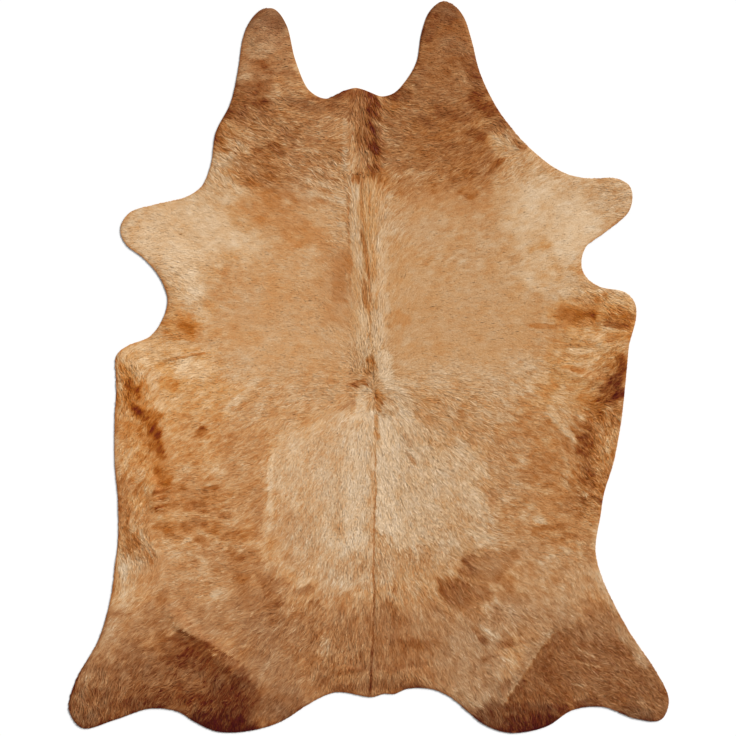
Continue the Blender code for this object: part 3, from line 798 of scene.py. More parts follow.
# %% Markings of the right side
RIGHT_SIDE = (
    ("pale above the elbow", (590, 250), (620, 236), 20, 0.22, 0.75),
    ("pale rim above the elbow", (660, 232), (710, 220), 12, 0.22, 0.85, 0.85),
    ("pale elbow corner", (735, 208), (798, 206), 15, 0.20, 1.10, 0.9),
    ("orange of the armpit", (700, 204), (726, 214), 9, 0.44, 1.15, 0.9),
    ("orange of the elbow", (596, 182), (700, 184), 10, 0.42, 1.18, 0.85),
    ("streak of the elbow", (588, 162), (684, 158), 16, 0.60, 1.14, 0.95),
    ("darker in the streak", (668, 164), (690, 150), 7, 0.70, 1.15, 0.9),
    ("second half of the streak", (742, 146), (800, 148), 12, 0.60, 1.16, 0.9),
    ("corner streak", (730, 132), (795, 126), 8, 0.72, 0.98, 0.9),
    ("corner shade", (775, 166), (812, 150), 9, 0.54, 1.12, 0.9),
    ("thin honey streak", (500, 127), (600, 124), 6, 0.48, 1.05, 0.9),
    ("honey below the streak", (600, 132), (704, 132), 7, 0.46, 1.10),
    ("pale below the streaks", (620, 104), (700, 98), 12, 0.18, 0.95),
    ("first ripple", (546, 86), (588, 78), 4, 0.36, 1.05),
    ("second ripple", (590, 70), (644, 62), 5, 0.44, 1.10, 0.85),
    ("pale ripple", (615, 50), (690, 44), 7, 0.14, 0.85, 0.85),
    ("second pale ripple", (600, 18), (640, 14), 8, 0.17, 0.95),
    ("orange edge", (740, 112), (800, 92), 10, 0.34, 1.15, 0.7),
    ("small dark mark", (624, -4), (656, -12), 7, 0.60, 1.10, 0.9),
    ("dark belly edge, upper", (772, 24), (780, -14), 15, 0.78, 0.90, 0.95),
    ("brown inside it", (738, 16), (752, -20), 12, 0.50, 0.95),
    ("darkest belly patch", (758, -52), (764, -80), 25, 0.97, 0.84, 0.95),
    ("its inner half", (722, -68), (748, -82), 15, 0.78, 0.82, 0.95),
    ("dark streak below", (708, -98), (752, -112), 9, 0.72, 0.84, 0.9),
    ("small rust mark", (752, -166), (766, -172), 9, 0.62, 0.95, 0.9),
    ("rust line", (712, -198), (740, -206), 3, 0.56, 0.90),
    ("golden rim", (752, -200), (728, -300), 17, 0.30, 0.90, 0.85),
    ("dark belly, first", (644, -210), (664, -216), 12, 0.78, 0.86, 0.9),
    ("brown right of the diagonal", (630, -170), (640, -198), 11, 0.56, 0.84, 0.9),
    ("brown above the dark belly", (655, -176), (680, -184), 10, 0.62, 0.84, 0.85),
    ("dark belly, second", (660, -232), (690, -240), 10, 0.72, 0.88, 0.9),
    ("dark belly, third", (644, -258), (668, -268), 13, 0.78, 0.90, 0.9),
    ("dark belly, fourth", (656, -302), (688, -320), 13, 0.68, 0.80, 0.9),
    ("dark belly, fifth", (662, -350), (684, -366), 13, 0.68, 0.82, 0.9),
    ("dark belly, sixth", (616, -408), (664, -414), 11, 0.58, 0.78, 0.9),
    ("dark belly, seventh", (600, -432), (640, -446), 14, 0.54, 0.74),
    ("orange between", (700, -280), (716, -330), 10, 0.50, 0.95, 0.7),
    ("notch at the rim", (700, -404), (714, -414), 6, 0.72, 0.70, 0.9),
    ("pale diagonal, wide end", (560, -134), (590, -172), 13, 0.18, 0.66, 0.9),
    ("pale diagonal streak", (590, -172), (622, -216), 8, 0.20, 0.66, 0.9),
    ("shade beside the diagonal", (556, -166), (590, -214), 4, 0.46, 0.80, 0.7),
    ("tan left of the shade", (540, -230), (566, -250), 14, 0.28, 0.66),
    ("smudge", (480, -84), (512, -88), 8, 0.46, 0.78),
    ("brown band of the flank", (530, -492), (606, -488), 6, 0.54, 0.74, 0.85),
    ("second band", (600, -520), (650, -524), 9, 0.52, 0.62),
    ("pale spot", (514, -468), (532, -472), 9, 0.16, 0.42, 0.95),
    ("pale tuft", (386, -432), (400, -440), 7, 0.22, 0.50),
    ("caramel of the flank", (480, -335), (556, -344), 20, 0.51, 0.74, 0.7),
    ("caramel streak", (500, -280), (548, -296), 10, 0.50, 0.76, 0.6),
    ("caramel below", (470, -545), (496, -550), 9, 0.46, 0.55, 0.7),
    ("worn edge", (708, -640), (728, -690), 8, 0.30, -0.02),
    ("worn edge, lower", (726, -690), (765, -745), 16, 0.27, -0.02, 0.85),
    ("caramel beside the belly", (606, -232), (622, -256), 13, 0.52, 0.86, 0.85),
    ("tan gap of the belly", (702, -218), (716, -262), 11, 0.37, 0.90, 0.85),
    ("caramel of the rim", (672, -562), (684, -590), 14, 0.46, 0.50),
    ("caramel above the flank", (396, -188), (422, -196), 15, 0.41, 0.90),
    ("brown of the rim", (692, -438), (702, -452), 10, 0.54, 0.72),
)
paint(RIGHT_SIDE, 0.6)

# %% Markings of the back and the rump
BACK = (
    ("honey smudge", (80, 162), (106, 146), 18, 0.38, 1.00),
    ("brown left of the mane", (-76, 340), (-92, 225), 24, 0.48, 0.74),
    ("caramel right of the whorl", (200, -140), (330, -200), 34, 0.32, 0.62),
    ("pinkish mark", (110, -212), (128, -240), 7, 0.34, 0.20),
    ("thin brown strands", (118, -262), (142, -296), 4, 0.40, 0.30, 0.7),
    ("blotch, top", (294, -586), (322, -582), 7, 0.60, 0.42, 0.9),
    ("blotch, upper", (308, -606), (430, -604), 20, 0.53, 0.44),
    ("blotch, between", (300, -638), (400, -638), 19, 0.58, 0.48, 0.9),
    ("blotch, right arm", (408, -700), (476, -712), 15, 0.52, 0.44, 0.85),
    ("blotch, ring", (294, -598), (326, -622), 5, 0.70, 0.50, 0.9),
    ("blotch, upper arm", (370, -584), (458, -578), 13, 0.48, 0.44),
    ("blotch, middle", (240, -668), (282, -672), 20, 0.59, 0.50, 0.9),
    ("paler in the blotch", (296, -654), (326, -658), 7, 0.40, 0.46, 0.7),
    ("blotch, darkest", (238, -690), (282, -720), 23, 0.67, 0.56, 0.85),
    ("blotch, right half", (300, -700), (352, -694), 27, 0.61, 0.50, 0.9),
    ("blotch, its left tip", (218, -658), (250, -668), 9, 0.60, 0.50),
    ("blotch, lower", (322, -744), (344, -778), 18, 0.54, 0.40, 0.75),
    ("pale right of the blotch", (412, -652), (386, -700), 5, 0.34, 0.36),
    ("second pale streak", (434, -636), (472, -600), 12, 0.30, 0.46),
    ("streak above the spot", (322, -800), (346, -832), 7, 0.56, 0.40, 0.7),
    ("brown spot", (344, -838), (362, -846), 8, 0.70, 0.36, 0.85),
    ("second brown spot", (404, -854), (438, -848), 10, 0.70, 0.36, 0.85),
    ("above the second spot", (420, -828), (436, -838), 8, 0.60, 0.30),
    ("pale between them", (368, -812), (394, -824), 9, 0.30, -0.15, 0.85),
    ("thin bright strand", (356, -806), (380, -822), 2, 0.14, -0.10),
    ("line right of them", (448, -852), (504, -838), 4, 0.56, 0.16),
    ("brown left of the loin", (396, -745), (392, -784), 10, 0.54, 0.24, 0.7),
    ("small brown marks", (200, -742), (222, -752), 8, 0.54, 0.26, 0.7),
    ("left patch, upper", (-316, -650), (-292, -692), 22, 0.58, 0.36, 0.9),
    ("left patch, lower", (-298, -700), (-288, -760), 20, 0.62, 0.38, 0.9),
    ("left of the patch", (-384, -690), (-352, -734), 26, 0.53, 0.28),
    ("above the patch", (-330, -612), (-300, -622), 16, 0.44, 0.34),
    ("right of the patch", (-270, -655), (-252, -678), 13, 0.48, 0.20),
    ("brown below the patch", (-330, -785), (-318, -812), 18, 0.58, 0.20),
    ("dark left of it", (-376, -726), (-366, -738), 8, 0.58, 0.34, 0.7),
    ("smudge beside it", (-222, -690), (-182, -682), 9, 0.54, 0.24),
    ("arm of the smudge", (-180, -722), (-142, -738), 4, 0.58, 0.22, 0.85),
    ("pale strip", (-150, -700), (-70, -676), 20, 0.27, 0.06, 0.7),
    ("pale between", (-262, -748), (-180, -758), 17, 0.35, 0.20, 0.75),
    ("brown of the rump, left", (-330, -840), (-350, -880), 26, 0.55, 0.24, 0.7),
    ("brown of the rump", (-220, -790), (-205, -870), 40, 0.56, 0.36),
    ("pale of the rump", (-132, -845), (-140, -872), 16, 0.36, 0.14),
    ("pale spot of the rump", (-312, -925), (-318, -950), 14, 0.33, -0.12),
    ("brown left of the parting", (-46, -830), (-30, -890), 30, 0.54, 0.36, 0.7),
    ("brown right of the parting", (50, -780), (70, -890), 46, 0.60, 0.44, 0.7),
    ("darkest of the band", (98, -850), (232, -854), 11, 0.64, 0.48),
    ("pale right of the rump", (190, -770), (235, -800), 26, 0.41, 0.18, 0.6),
    ("left of the tail", (-140, -940), (-150, -985), 16, 0.64, 0.34, 0.7),
    # Painted shade in the fine creases over the tail and across the right rump.
    ("crease over the tail, left", (-104, -942), (-6, -926), 5, 0.68, 0.34, 0.9),
    ("crease over the tail, right", (-6, -926), (170, -914), 5, 0.64, 0.34, 0.85),
    ("second crease", (-6, -962), (156, -966), 4, 0.62, 0.30),
    ("crease of the right rump", (314, -936), (342, -906), 1, 0.60, 0.05, 0.9),
    ("its end", (342, -906), (402, -884), 1, 0.62, 0.05, 0.9),
    ("lower rim of the rump", (-110, -984), (160, -980), 9, 0.70, 0.28, 0.85),
    ("tan right of the rump", (240, -870), (262, -895), 18, 0.52, 0.30),
    ("brown beside the back", (-396, -548), (-382, -566), 13, 0.46, 0.50),
    ("straw above the thigh", (-420, -764), (-388, -764), 17, 0.36, 0.12),
    ("blotch, far right", (428, -670), (438, -690), 11, 0.52, 0.44),
    ("rim left of the right thigh", (300, -1046), (332, -1058), 14, 0.56, 0.04),
)
paint(BACK, 0.6)

# %% Markings of the thighs and hind legs
THIGHS = (
    # Painted highlight on the ridge just above the left crease, in two strokes.
    ("pale above the left crease", (-644, -774), (-520, -828), 4, 0.44, 0.26),
    ("its lower end", (-520, -828), (-408, -880), 4, 0.53, 0.10),
    ("right of the left thigh", (-345, -895), (-300, -950), 22, 0.47, 0.02, 0.85),
    ("below it, towards the tail", (-280, -985), (-250, -1010), 22, 0.58, 0.08, 0.85),
    ("dark wedge below it", (-600, -845), (-480, -900), 24, 0.80, 0.44, 0.95),
    ("dark strip below the crease", (-580, -818), (-500, -856), 10, 0.76, 0.44, 0.9),
    # Painted shade in the left crease, from its thin start to its dark end.
    ("thin start of the crease", (-636, -773), (-590, -802), 0, 0.56, 0.40),
    ("dark line of the crease", (-586, -808), (-402, -905), 2, 0.82, 0.44, 0.95),
    ("dark end of the crease", (-446, -892), (-416, -912), 9, 0.74, 0.30, 0.9),
    ("middle of the left thigh", (-560, -900), (-450, -930), 26, 0.84, 0.40),
    ("brown left of the wedge", (-640, -830), (-608, -866), 22, 0.70, 0.38, 0.85),
    ("reddish left thigh", (-640, -945), (-540, -965), 20, 0.70, 0.30, 0.7),
    ("darkest of the left thigh", (-450, -1000), (-410, -1095), 48, 0.90, 0.20),
    ("near black edge", (-530, -1088), (-390, -1098), 25, 1.00, 0.20, 0.9),
    ("dark above the edge", (-540, -1010), (-470, -1030), 24, 0.88, 0.28, 0.7),
    ("rim right of the thigh", (-320, -1030), (-250, -1070), 20, 0.68, 0.08, 0.85),
    ("brown edge of the thigh", (-760, -1036), (-610, -1026), 16, 0.86, 0.26, 0.85),
    ("brown above that edge", (-700, -1000), (-660, -1004), 16, 0.78, 0.26),
    ("brown top of the leg", (-700, -884), (-660, -896), 20, 0.66, 0.26),
    ("pale top of the leg", (-768, -780), (-798, -886), 23, 0.39, 0.10),
    ("line of the leg", (-792, -757), (-736, -762), 4, 0.54, 0.25),
    ("left foot", (-896, -985), (-886, -1020), 14, 0.54, -0.05),
    ("left foot edge", (-880, -1090), (-840, -1095), 20, 0.74, 0.00, 0.7),
    ("mottled foot", (-850, -960), (-800, -930), 20, 0.54, 0.12, 0.6),
    # Painted highlight on the pale rim above the right crease, in three strokes.
    ("pale above the right crease", (556, -818), (504, -860), 8, 0.34, 0.00, 0.9),
    ("middle of that crease", (508, -862), (462, -944), 12, 0.38, 0.00, 0.9),
    ("its lower end", (456, -950), (412, -1026), 7, 0.42, 0.04, 0.9),
    ("dark top of the right thigh", (600, -834), (650, -850), 17, 0.66, 0.44),
    # Painted shade beside and below the right crease.
    ("dark beside the crease", (556, -884), (520, -934), 9, 0.70, 0.40, 0.9),
    ("dark below it", (474, -966), (434, -1036), 8, 0.75, 0.28, 0.85),
    ("darkest of the right thigh", (425, -1108), (560, -1092), 28, 0.95, 0.18, 0.9),
    ("above it", (440, -1050), (600, -1054), 16, 0.84, 0.20),
    ("middle of the right thigh", (528, -915), (565, -950), 20, 0.72, 0.42, 0.6),
    ("left of the thigh", (350, -1072), (400, -1100), 24, 0.80, 0.08, 0.85),
    ("brown left of the crease", (420, -975), (400, -1005), 13, 0.54, 0.00, 0.7),
    ("long scratch", (644, -868), (690, -890), 1, 0.28, 0.30, 0.9),
    ("second scratch", (630, -906), (706, -920), 1, 0.30, 0.20, 0.9),
    ("third scratch", (632, -1022), (674, -1020), 1, 0.30, 0.10, 0.9),
    ("brown of the right leg", (740, -870), (780, -880), 20, 0.70, 0.46, 0.6),
    ("pale rim of the leg", (772, -808), (848, -912), 13, 0.37, -0.08, 0.85),
    ("right foot, lower edge", (790, -1055), (860, -1075), 16, 0.72, 0.02),
    ("edge of the right thigh", (640, -1034), (700, -1034), 12, 0.76, 0.22),
    # Painted shadow beside the ridge of the right crease.
    ("painted shadow beside the ridge", (576, -838), (506, -936), 8, 0.60, 0.26),
    ("fourth scratch", (626, -976), (668, -978), 1, 0.34, 0.10),
    # Painted highlight on the ridge of the right crease, in three strokes, then painted shade left
    # of it.
    ("upper ridge of the right crease", (562, -818), (530, -856), 3, 0.30, 0.04),
    ("its middle", (530, -856), (486, -922), 2, 0.24, 0.04, 0.9),
    ("lower ridge of the right crease", (486, -922), (412, -1036), 0, 0.26, 0.04, 0.9),
    ("shade left of the ridge", (430, -968), (402, -1022), 7, 0.61, 0.04),
    ("brown of the left leg", (-728, -928), (-684, -932), 18, 0.75, 0.22),
    ("tan of the left thigh", (-534, -978), (-518, -990), 14, 0.60, 0.24, 0.85),
)
paint(THIGHS, 0.55)

# %% Markings of the mane, the whorl and the parting
MANE = (
    ("crown of the mane", (-55, 838), (-10, 828), 24, 0.66, 0.48, 0.9),
    ("brown of the mane", (-24, 800), (-16, 660), 24, 0.58, 0.48, 0.9),
    ("brown right half", (16, 806), (14, 650), 20, 0.64, 0.60),
    ("pale strand in it", (-52, 735), (-48, 690), 6, 0.38, 0.40),
    ("pale strip beside it", (-75, 760), (-72, 606), 6, 0.28, 0.18, 0.9),
    ("straw below", (-48, 672), (-46, 620), 14, 0.36, 0.60),
    ("golden strands", (-15, 660), (-5, 625), 9, 0.38, 0.50, 0.7),
    ("first umber tuft", (4, 836), (26, 806), 10, 0.90, 0.85, 0.95),
    ("second umber tuft", (6, 792), (28, 768), 9, 0.86, 0.80, 0.9),
    ("third umber tuft", (-6, 746), (9, 724), 8, 0.92, 0.85, 0.95),
    ("pale strand across", (8, 758), (32, 744), 4, 0.40, 0.40),
    ("dark below it", (0, 712), (14, 694), 7, 0.74, 0.80),
    ("fourth umber tuft", (8, 684), (28, 658), 10, 0.92, 0.88, 0.95),
    ("pale strand below", (0, 660), (20, 632), 4, 0.40, 0.45),
    ("brown of the lower mane", (16, 642), (24, 620), 9, 0.62, 0.80),
    ("fifth umber tuft", (18, 614), (36, 600), 8, 0.88, 0.85, 0.95),
    ("sixth umber tuft", (-4, 612), (10, 596), 7, 0.78, 0.80, 0.9),
    ("golden fan", (36, 590), (60, 560), 13, 0.44, 0.90, 0.7),
    ("left tuft", (-44, 588), (-24, 590), 7, 0.72, 0.95, 0.9),
    ("small left tuft", (-50, 580), (-48, 572), 2, 0.70, 0.90),
    ("rust between", (-34, 574), (-26, 564), 8, 0.54, 0.85),
    ("rust root of the golden mane", (-14, 588), (26, 580), 10, 0.56, 0.85),
    ("golden mane", (2, 545), (4, 380), 27, 0.26, 0.84, 0.9),
    ("golden core", (-20, 520), (-12, 400), 4, 0.36, 0.90),
    ("core strand", (8, 560), (0, 470), 1, 0.40, 0.90),
    ("pale left strip", (-40, 556), (-44, 505), 12, 0.15, 0.40, 0.9),
    ("straw below it", (-44, 500), (-46, 400), 12, 0.22, 0.48),
    ("pale strip further on", (-42, 400), (-38, 315), 11, 0.20, 0.50, 0.85),
    ("honey of that strip", (-38, 292), (-34, 220), 10, 0.30, 0.85),
    ("left border of the mane", (-64, 560), (-62, 400), 1, 0.48, 0.70, 0.75),
    ("its lower half", (-62, 400), (-56, 220), 1, 0.46, 0.75, 0.7),
    ("mane further back", (6, 380), (16, 60), 24, 0.23, 0.72, 0.85),
    ("pale right strip", (42, 430), (46, 80), 12, 0.20, 0.40, 0.85),
    ("honey right of the core", (14, 380), (16, 260), 5, 0.32, 0.90, 0.75),
    ("dark strand", (-22, 414), (-17, 384), 4, 0.60, 0.80, 0.9),
    ("honey strand", (-14, 384), (-4, 306), 5, 0.50, 0.90, 0.9),
    ("dark crossing", (-6, 306), (1, 270), 2, 0.68, 0.85, 0.9),
    ("brown strand", (-14, 262), (-10, 200), 6, 0.52, 0.88, 0.9),
    ("second brown strand", (-3, 262), (6, 190), 2, 0.50, 0.85),
    ("its end", (-12, 200), (4, 172), 5, 0.48, 0.88, 0.85),
    ("pale after it", (-24, 170), (-14, 40), 14, 0.14, 0.52),
    ("pale centre", (20, 160), (26, 40), 10, 0.13, 0.52),
    ("thin strand", (2, 165), (8, 60), 1, 0.38, 0.80),
    ("small tuft", (-1, 23), (18, 21), 7, 0.58, 1.00, 0.9),
    ("its dark end", (8, 13), (20, 12), 3, 0.80, 1.00, 0.9),
    ("below the small tuft", (6, 8), (8, -4), 7, 0.38, 0.95, 0.9),
    ("pale right of the tuft", (40, 30), (66, -52), 20, 0.06, 0.38, 0.9),
    ("straw right of the eye", (100, -60), (104, -112), 18, 0.13, 0.42),
    ("straw before the tuft", (-4, 66), (0, 52), 7, 0.08, 0.52),
    ("caramel below it", (-6, -8), (-12, -34), 8, 0.38, 0.86, 0.85),
    ("dark hairs of the whorl", (-36, -40), (-2, -56), 2, 0.76, 0.80, 0.95),
    ("left arm of the whorl", (-60, -56), (-14, -42), 6, 0.56, 0.78, 0.9),
    ("dark end of the arm", (-48, -50), (-38, -60), 3, 0.74, 0.72, 0.9),
    ("pale inside the arm", (-28, -84), (0, -74), 8, 0.17, 0.30, 0.9),
    ("pale strip below the arm", (-26, -92), (-24, -150), 16, 0.13, 0.28, 0.85),
    ("brown below the arm", (-86, -130), (-46, -106), 6, 0.42, 0.30),
    ("eye of the whorl", (24, -80), (42, -96), 8, 0.44, 0.98, 0.95),
    ("dark hairs of the eye", (22, -94), (42, -112), 2, 0.82, 0.92, 0.9),
    ("tail of the whorl", (28, -106), (32, -130), 7, 0.46, 1.00, 0.95),
    ("honey after it", (22, -150), (24, -190), 6, 0.34, 0.80, 0.9),
    ("orange tuft", (18, -204), (28, -216), 6, 0.42, 0.95, 0.9),
    ("parting, upper part", (20, -225), (22, -420), 0, 0.44, 0.66, 0.85),
    ("parting, middle part", (20, -420), (14, -560), 1, 0.50, 0.60, 0.85),
    ("parting, lower part", (14, -560), (16, -700), 1, 0.60, 0.54, 0.9),
    ("parting of the rump", (17, -690), (11, -870), 1, 0.76, 0.50, 0.95),
    ("end of the parting", (11, -870), (3, -1000), 2, 0.92, 0.44, 0.95),
    ("dark beside the tail", (20, -972), (30, -990), 8, 0.72, 0.40, 0.7),
    ("honey beside the tuft", (52, 156), (60, 128), 8, 0.36, 0.90),
)
paint(MANE, 0.5)
MARKINGS = NECK + SHOULDERS + LEFT_SIDE + RIGHT_SIDE + BACK + THIGHS + MANE
print("painted", len(MARKINGS), "markings")

# %% [markdown]
# ## From painted patches to a coat
#
# A painted patch is too even. On the real hide every lock has its own shade, most of all where
# the coat is long or curly, and least over the sleek middle of the body. So the streaks are added
# with a strength that differs by region. Right at the cut edge the hair is painted darker, a
# painted shade that is strongest on the left and lower edges, which face away from the lamp.

# %% Streaks of the coat
Streaks = namedtuple("Streaks", "place start end half_width strength long")
STREAKS = (
    Streaks("neck", (-350, 760), (350, 760), 260, 1.0, 0.01),
    Streaks("right of the neck", (120, 740), (400, 720), 160, 0.85, 0.01),
    Streaks("shoulders", (-600, 420), (600, 450), 130, 0.60, 0),
    Streaks("middle", (-250, 150), (350, 130), 260, 0.34, 0),
    Streaks("left side", (-620, -80), (-480, -300), 170, 1.25, 0),
    Streaks("left flank", (-600, -420), (-450, -560), 150, 1.35, 0),
    Streaks("left belly", (-720, -40), (-710, -560), 80, 1.3, 0),
    Streaks("right side", (600, -60), (560, -500), 180, 1.15, 0),
    Streaks("right belly", (740, 180), (700, -400), 90, 1.5, 0),
    Streaks("back", (-100, -260), (130, -500), 230, 0.50, 0.012),
    Streaks("rump", (-250, -800), (300, -820), 190, 0.95, 0.01),
    Streaks("left leg", (-500, -950), (-850, -1030), 150, 1.15, 0),
    Streaks("right leg", (520, -950), (850, -1000), 150, 0.80, 0),
    Streaks("mane", (0, 830), (0, 560), 60, 0.8, 0.045),
    Streaks("golden mane", (-5, 560), (12, 0), 58, 0.40, 0.03),
)
SOFT_BORDER = 0.6  # of a region, as a share of its half width


def blended(rows, ground, column):
    """One column of a table of regions as a field, with soft borders."""
    field = np.full(GX.shape, float(ground))
    for row in rows:
        away = beside(GX, GY, row.start, row.end)[1] / (row.half_width * MM)
        field += eased((1 - away) / SOFT_BORDER) * (getattr(row, column) - field)
    return field


# How much each kind of streak darkens the coat, and how much it warms it.
STRANDS_DARKEN, TUFTS_DARKEN, MOTTLING_DARKENS, CLOUDS_DARKEN = 0.022, 0.036, 0.034, 0.018
TUFTS_WARM, MOTTLING_WARMS, CLOUDS_WARM = 0.03, 0.06, 0.07
# Painted shade along the cut edge: how far in it reaches, and how much darker it makes the hair.
RIM_PAINTED_SHADE = ((0, 0.30), (3 * MM, 0.18), (10 * MM, 0.0))  # how far in, and how much darker
LEE, LEE_SLOPE = 0.6, 0.5  # the left and lower rims face away from the lamp
DEEPEST = 1.08
WARMTH_RANGE = (-0.2, 1.4)

depth += blended(STREAKS, 0.8, "strength") * (
    STRANDS_DARKEN * strands
    + TUFTS_DARKEN * tufts
    + MOTTLING_DARKENS * mottling
    + CLOUDS_DARKEN * clouds
)
depth += blended(STREAKS, 0, "long") * mane_strands
# Painted shade at the cut edge, strongest on the left and lower edges, which face away from the
# lamp.
inward_y, inward_x = np.gradient(inset, CELL)
lee = np.clip(LEE + LEE_SLOPE * (inward_x + inward_y), 0, 1)
depth += lee * np.interp(inset, *zip(*RIM_PAINTED_SHADE))
warmth += CLOUDS_WARM * clouds + MOTTLING_WARMS * mottling + TUFTS_WARM * tufts
depth = np.clip(depth, 0, DEEPEST)
warmth = np.clip(warmth, *WARMTH_RANGE)
print("depth", depth[inset > 0].mean().round(3), "warmth", warmth[inset > 0].mean().round(3))

# %% [markdown]
# ## The skin
#
# Under the hair lies the tanned skin, 2 mm thick. It is one closed sheet: an upper side that the
# hair grows from, a suede flesh side that rests on the floor, and the cut edge between them. Both
# sides share one set of triangles, spread evenly and set closer along folds and wrinkles, and
# each point takes its height from the fold field.

# %% Points and triangles of the skin
SKIN_STEP = 15 * MM  # between points of the open skin
CREST_STEP = 9 * MM  # between points along a fold
CREST_GAP = 5 * MM  # that points of a fold keep from the edge and from each other
FIELD_GAP = 0.62 * SKIN_STEP  # likewise for the points of the open skin
FIELD_INSET = 6 * MM


def crest_points():
    """Points along each fold and on its two sides."""
    points = []
    for row in FOLDS + WRINKLES:
        start, end = np.array(row.start) * MM, np.array(row.end) * MM
        line = end - start
        square = np.array((-line[1], line[0])) / np.hypot(*line) * row.half_width * MM
        shares = np.linspace(0, 1, max(3, round(np.hypot(*line) / CREST_STEP)))
        for side in (-1, -0.5, 0, 0.5, 1):
            points += [start + share * line + side * square for share in shares]
    return np.array(points)


def apart_from(points, taken, distance):
    """The points that keep this distance from those already taken, and from each other."""
    cells, kept = {}, []

    def cell(x, y):
        return int(x // distance), int(y // distance)

    def crowded(x, y):
        c, r = cell(x, y)
        around = [(i, j) for i in (c - 1, c, c + 1) for j in (r - 1, r, r + 1)]
        others = (other for place in around for other in cells.get(place, ()))
        return any((a - x) ** 2 + (b - y) ** 2 < distance**2 for a, b in others)

    for x, y in taken:
        cells.setdefault(cell(x, y), []).append((x, y))
    for x, y in points:
        if not crowded(x, y):
            cells.setdefault(cell(x, y), []).append((x, y))
            kept.append((x, y))
    return kept


def skin_points():
    """The cut edge, then the points of the folds, then an even field of points."""
    edge = [tuple(p) for p in rim]
    crests = [p for p in crest_points() if read(inset, *p) > CREST_GAP]
    crests = apart_from(crests, edge, CREST_GAP)
    rows = np.arange(along[0], along[-1], SKIN_STEP * math.sqrt(3) / 2)
    field = []
    for number, y in enumerate(rows):
        columns = np.arange(across[0], across[-1], SKIN_STEP) + (number % 2) * SKIN_STEP / 2
        field += [(x, y) for x in columns]
    field = np.array(field)
    field = field[read(inset, *field.T) > FIELD_INSET]
    return edge, crests + apart_from(field, edge + crests, FIELD_GAP)


edge_points, inner_points = skin_points()
ring = list(range(len(edge_points)))
placed, _, found, *_ = delaunay_2d_cdt(
    [Vector(p) for p in edge_points + inner_points], [], [ring], 1, 1e-7
)
flat = np.array([(p.x, p.y) for p in placed])
triangles = np.array(found)
sides = flat[triangles]
turn = np.cross(sides[:, 1] - sides[:, 0], sides[:, 2] - sides[:, 0])
triangles[turn < 0] = triangles[turn < 0][:, ::-1]
print(len(flat), "points and", len(triangles), "triangles on each side of the skin")


# %% The closed sheet
UPPER, FLESH, CUT = range(3)  # the skin's materials, in their order
UPPER_MAP, FLESH_MAP, CUT_MAP = (0.01, 0.47), (0.52, 0.47), (0.495, 0.01)  # start and width
LAP_MAP = (0.005, 0.99)  # start and length of the cut edge's strip
BEFORE_START = -0.0005  # where the strip's last corner is, once the ring closes
SHARP = 50  # degrees: a sharper bend is an edge in the shading


def skin_mesh():
    """The upper side, the flesh side and the cut edge, as one mesh with three materials."""
    count, edge = len(flat), len(edge_points)
    low = read(lift, *flat.T)
    lower = np.column_stack([flat, low])
    upper = np.column_stack([flat, low + SKIN_THICKNESS])
    here = np.arange(edge)  # along the cut edge, which runs clockwise
    after = (here + 1) % edge
    wall = np.column_stack([here + count, after + count, after, here])
    faces = [*(triangles + count).tolist(), *triangles[:, ::-1].tolist(), *wall.tolist()]
    mesh = bpy.data.meshes.new("hide_skin")
    mesh.from_pydata(np.vstack([lower, upper]).tolist(), [], faces)
    kinds = np.repeat((UPPER, FLESH, CUT), (len(triangles), len(triangles), edge))
    mesh.polygons.foreach_set("material_index", kinds.astype(np.int32))
    mesh.shade_smooth()
    mesh.set_sharp_from_angle(angle=math.radians(SHARP))
    return mesh


def lay_out(mesh):
    """A flat map for each side and a narrow strip for the edge, so that none covers another."""
    corners = np.empty(len(mesh.loops), np.int32)
    mesh.loops.foreach_get("vertex_index", corners)
    kinds = np.empty(len(mesh.polygons), np.int32)
    mesh.polygons.foreach_get("material_index", kinds)
    sizes = np.where(kinds == CUT, 4, 3)
    kind = np.repeat(kinds, sizes)
    x = (np.tile(flat[:, 0], 2)[corners] - across[0]) / (across[-1] - across[0])
    y = (np.tile(flat[:, 1], 2)[corners] - along[0]) / (along[-1] - along[0])
    sides = [start + width * x for start, width in (UPPER_MAP, FLESH_MAP)]
    lap = (corners % len(flat)) / len(edge_points)  # how far round the cut edge
    first = np.repeat(np.minimum.reduceat(lap, np.cumsum(sizes) - sizes), sizes)
    lap = np.where((kind == CUT) & (lap > 0.9) & (first < 0.1), BEFORE_START, lap)
    u = np.choose(kind, (*sides, CUT_MAP[0] + CUT_MAP[1] * (corners >= len(flat))))
    v = np.where(kind == CUT, LAP_MAP[0] + LAP_MAP[1] * lap, y)
    layer = mesh.uv_layers.new(name="OFBake")
    layer.uv.foreach_set("vector", np.column_stack([u, v]).astype(np.float32).ravel())


def add_values(mesh, **values):
    """Numbers that the material reads at each point of the mesh."""
    for name, numbers in values.items():
        layer = mesh.attributes.new(name, "FLOAT", "POINT")
        layer.data.foreach_set("value", np.asarray(numbers, np.float32))


def in_scene(name, data):
    """A new object in the scene, with this mesh, lamp or camera."""
    made = bpy.data.objects.new(name, data)
    bpy.context.scene.collection.objects.link(made)
    return made


skin_data = skin_mesh()
lay_out(skin_data)
add_values(
    skin_data,
    depth=np.tile(read(depth, *flat.T), 2),
    warmth=np.tile(read(warmth, *flat.T), 2),
)
skin = in_scene("hide_skin", skin_data)
print("the skin has", 2 * len(triangles) + 2 * len(edge_points), "triangles")

# %% [markdown]
# ## The hair
#
# A single cow hair is a twentieth of a millimetre thick, far too fine to model one by one. Hairs
# cling together in locks, and a lock seen from above is a slim leaf: a root, a widest point and a
# tip. So each lock here is a leaf of two faces. It rises out of the skin, lies down along the
# stream of the coat and overlaps those in front of it, as slates do on a roof. Each leaf is
# turned a little about its own length, so that no two of them shine alike.

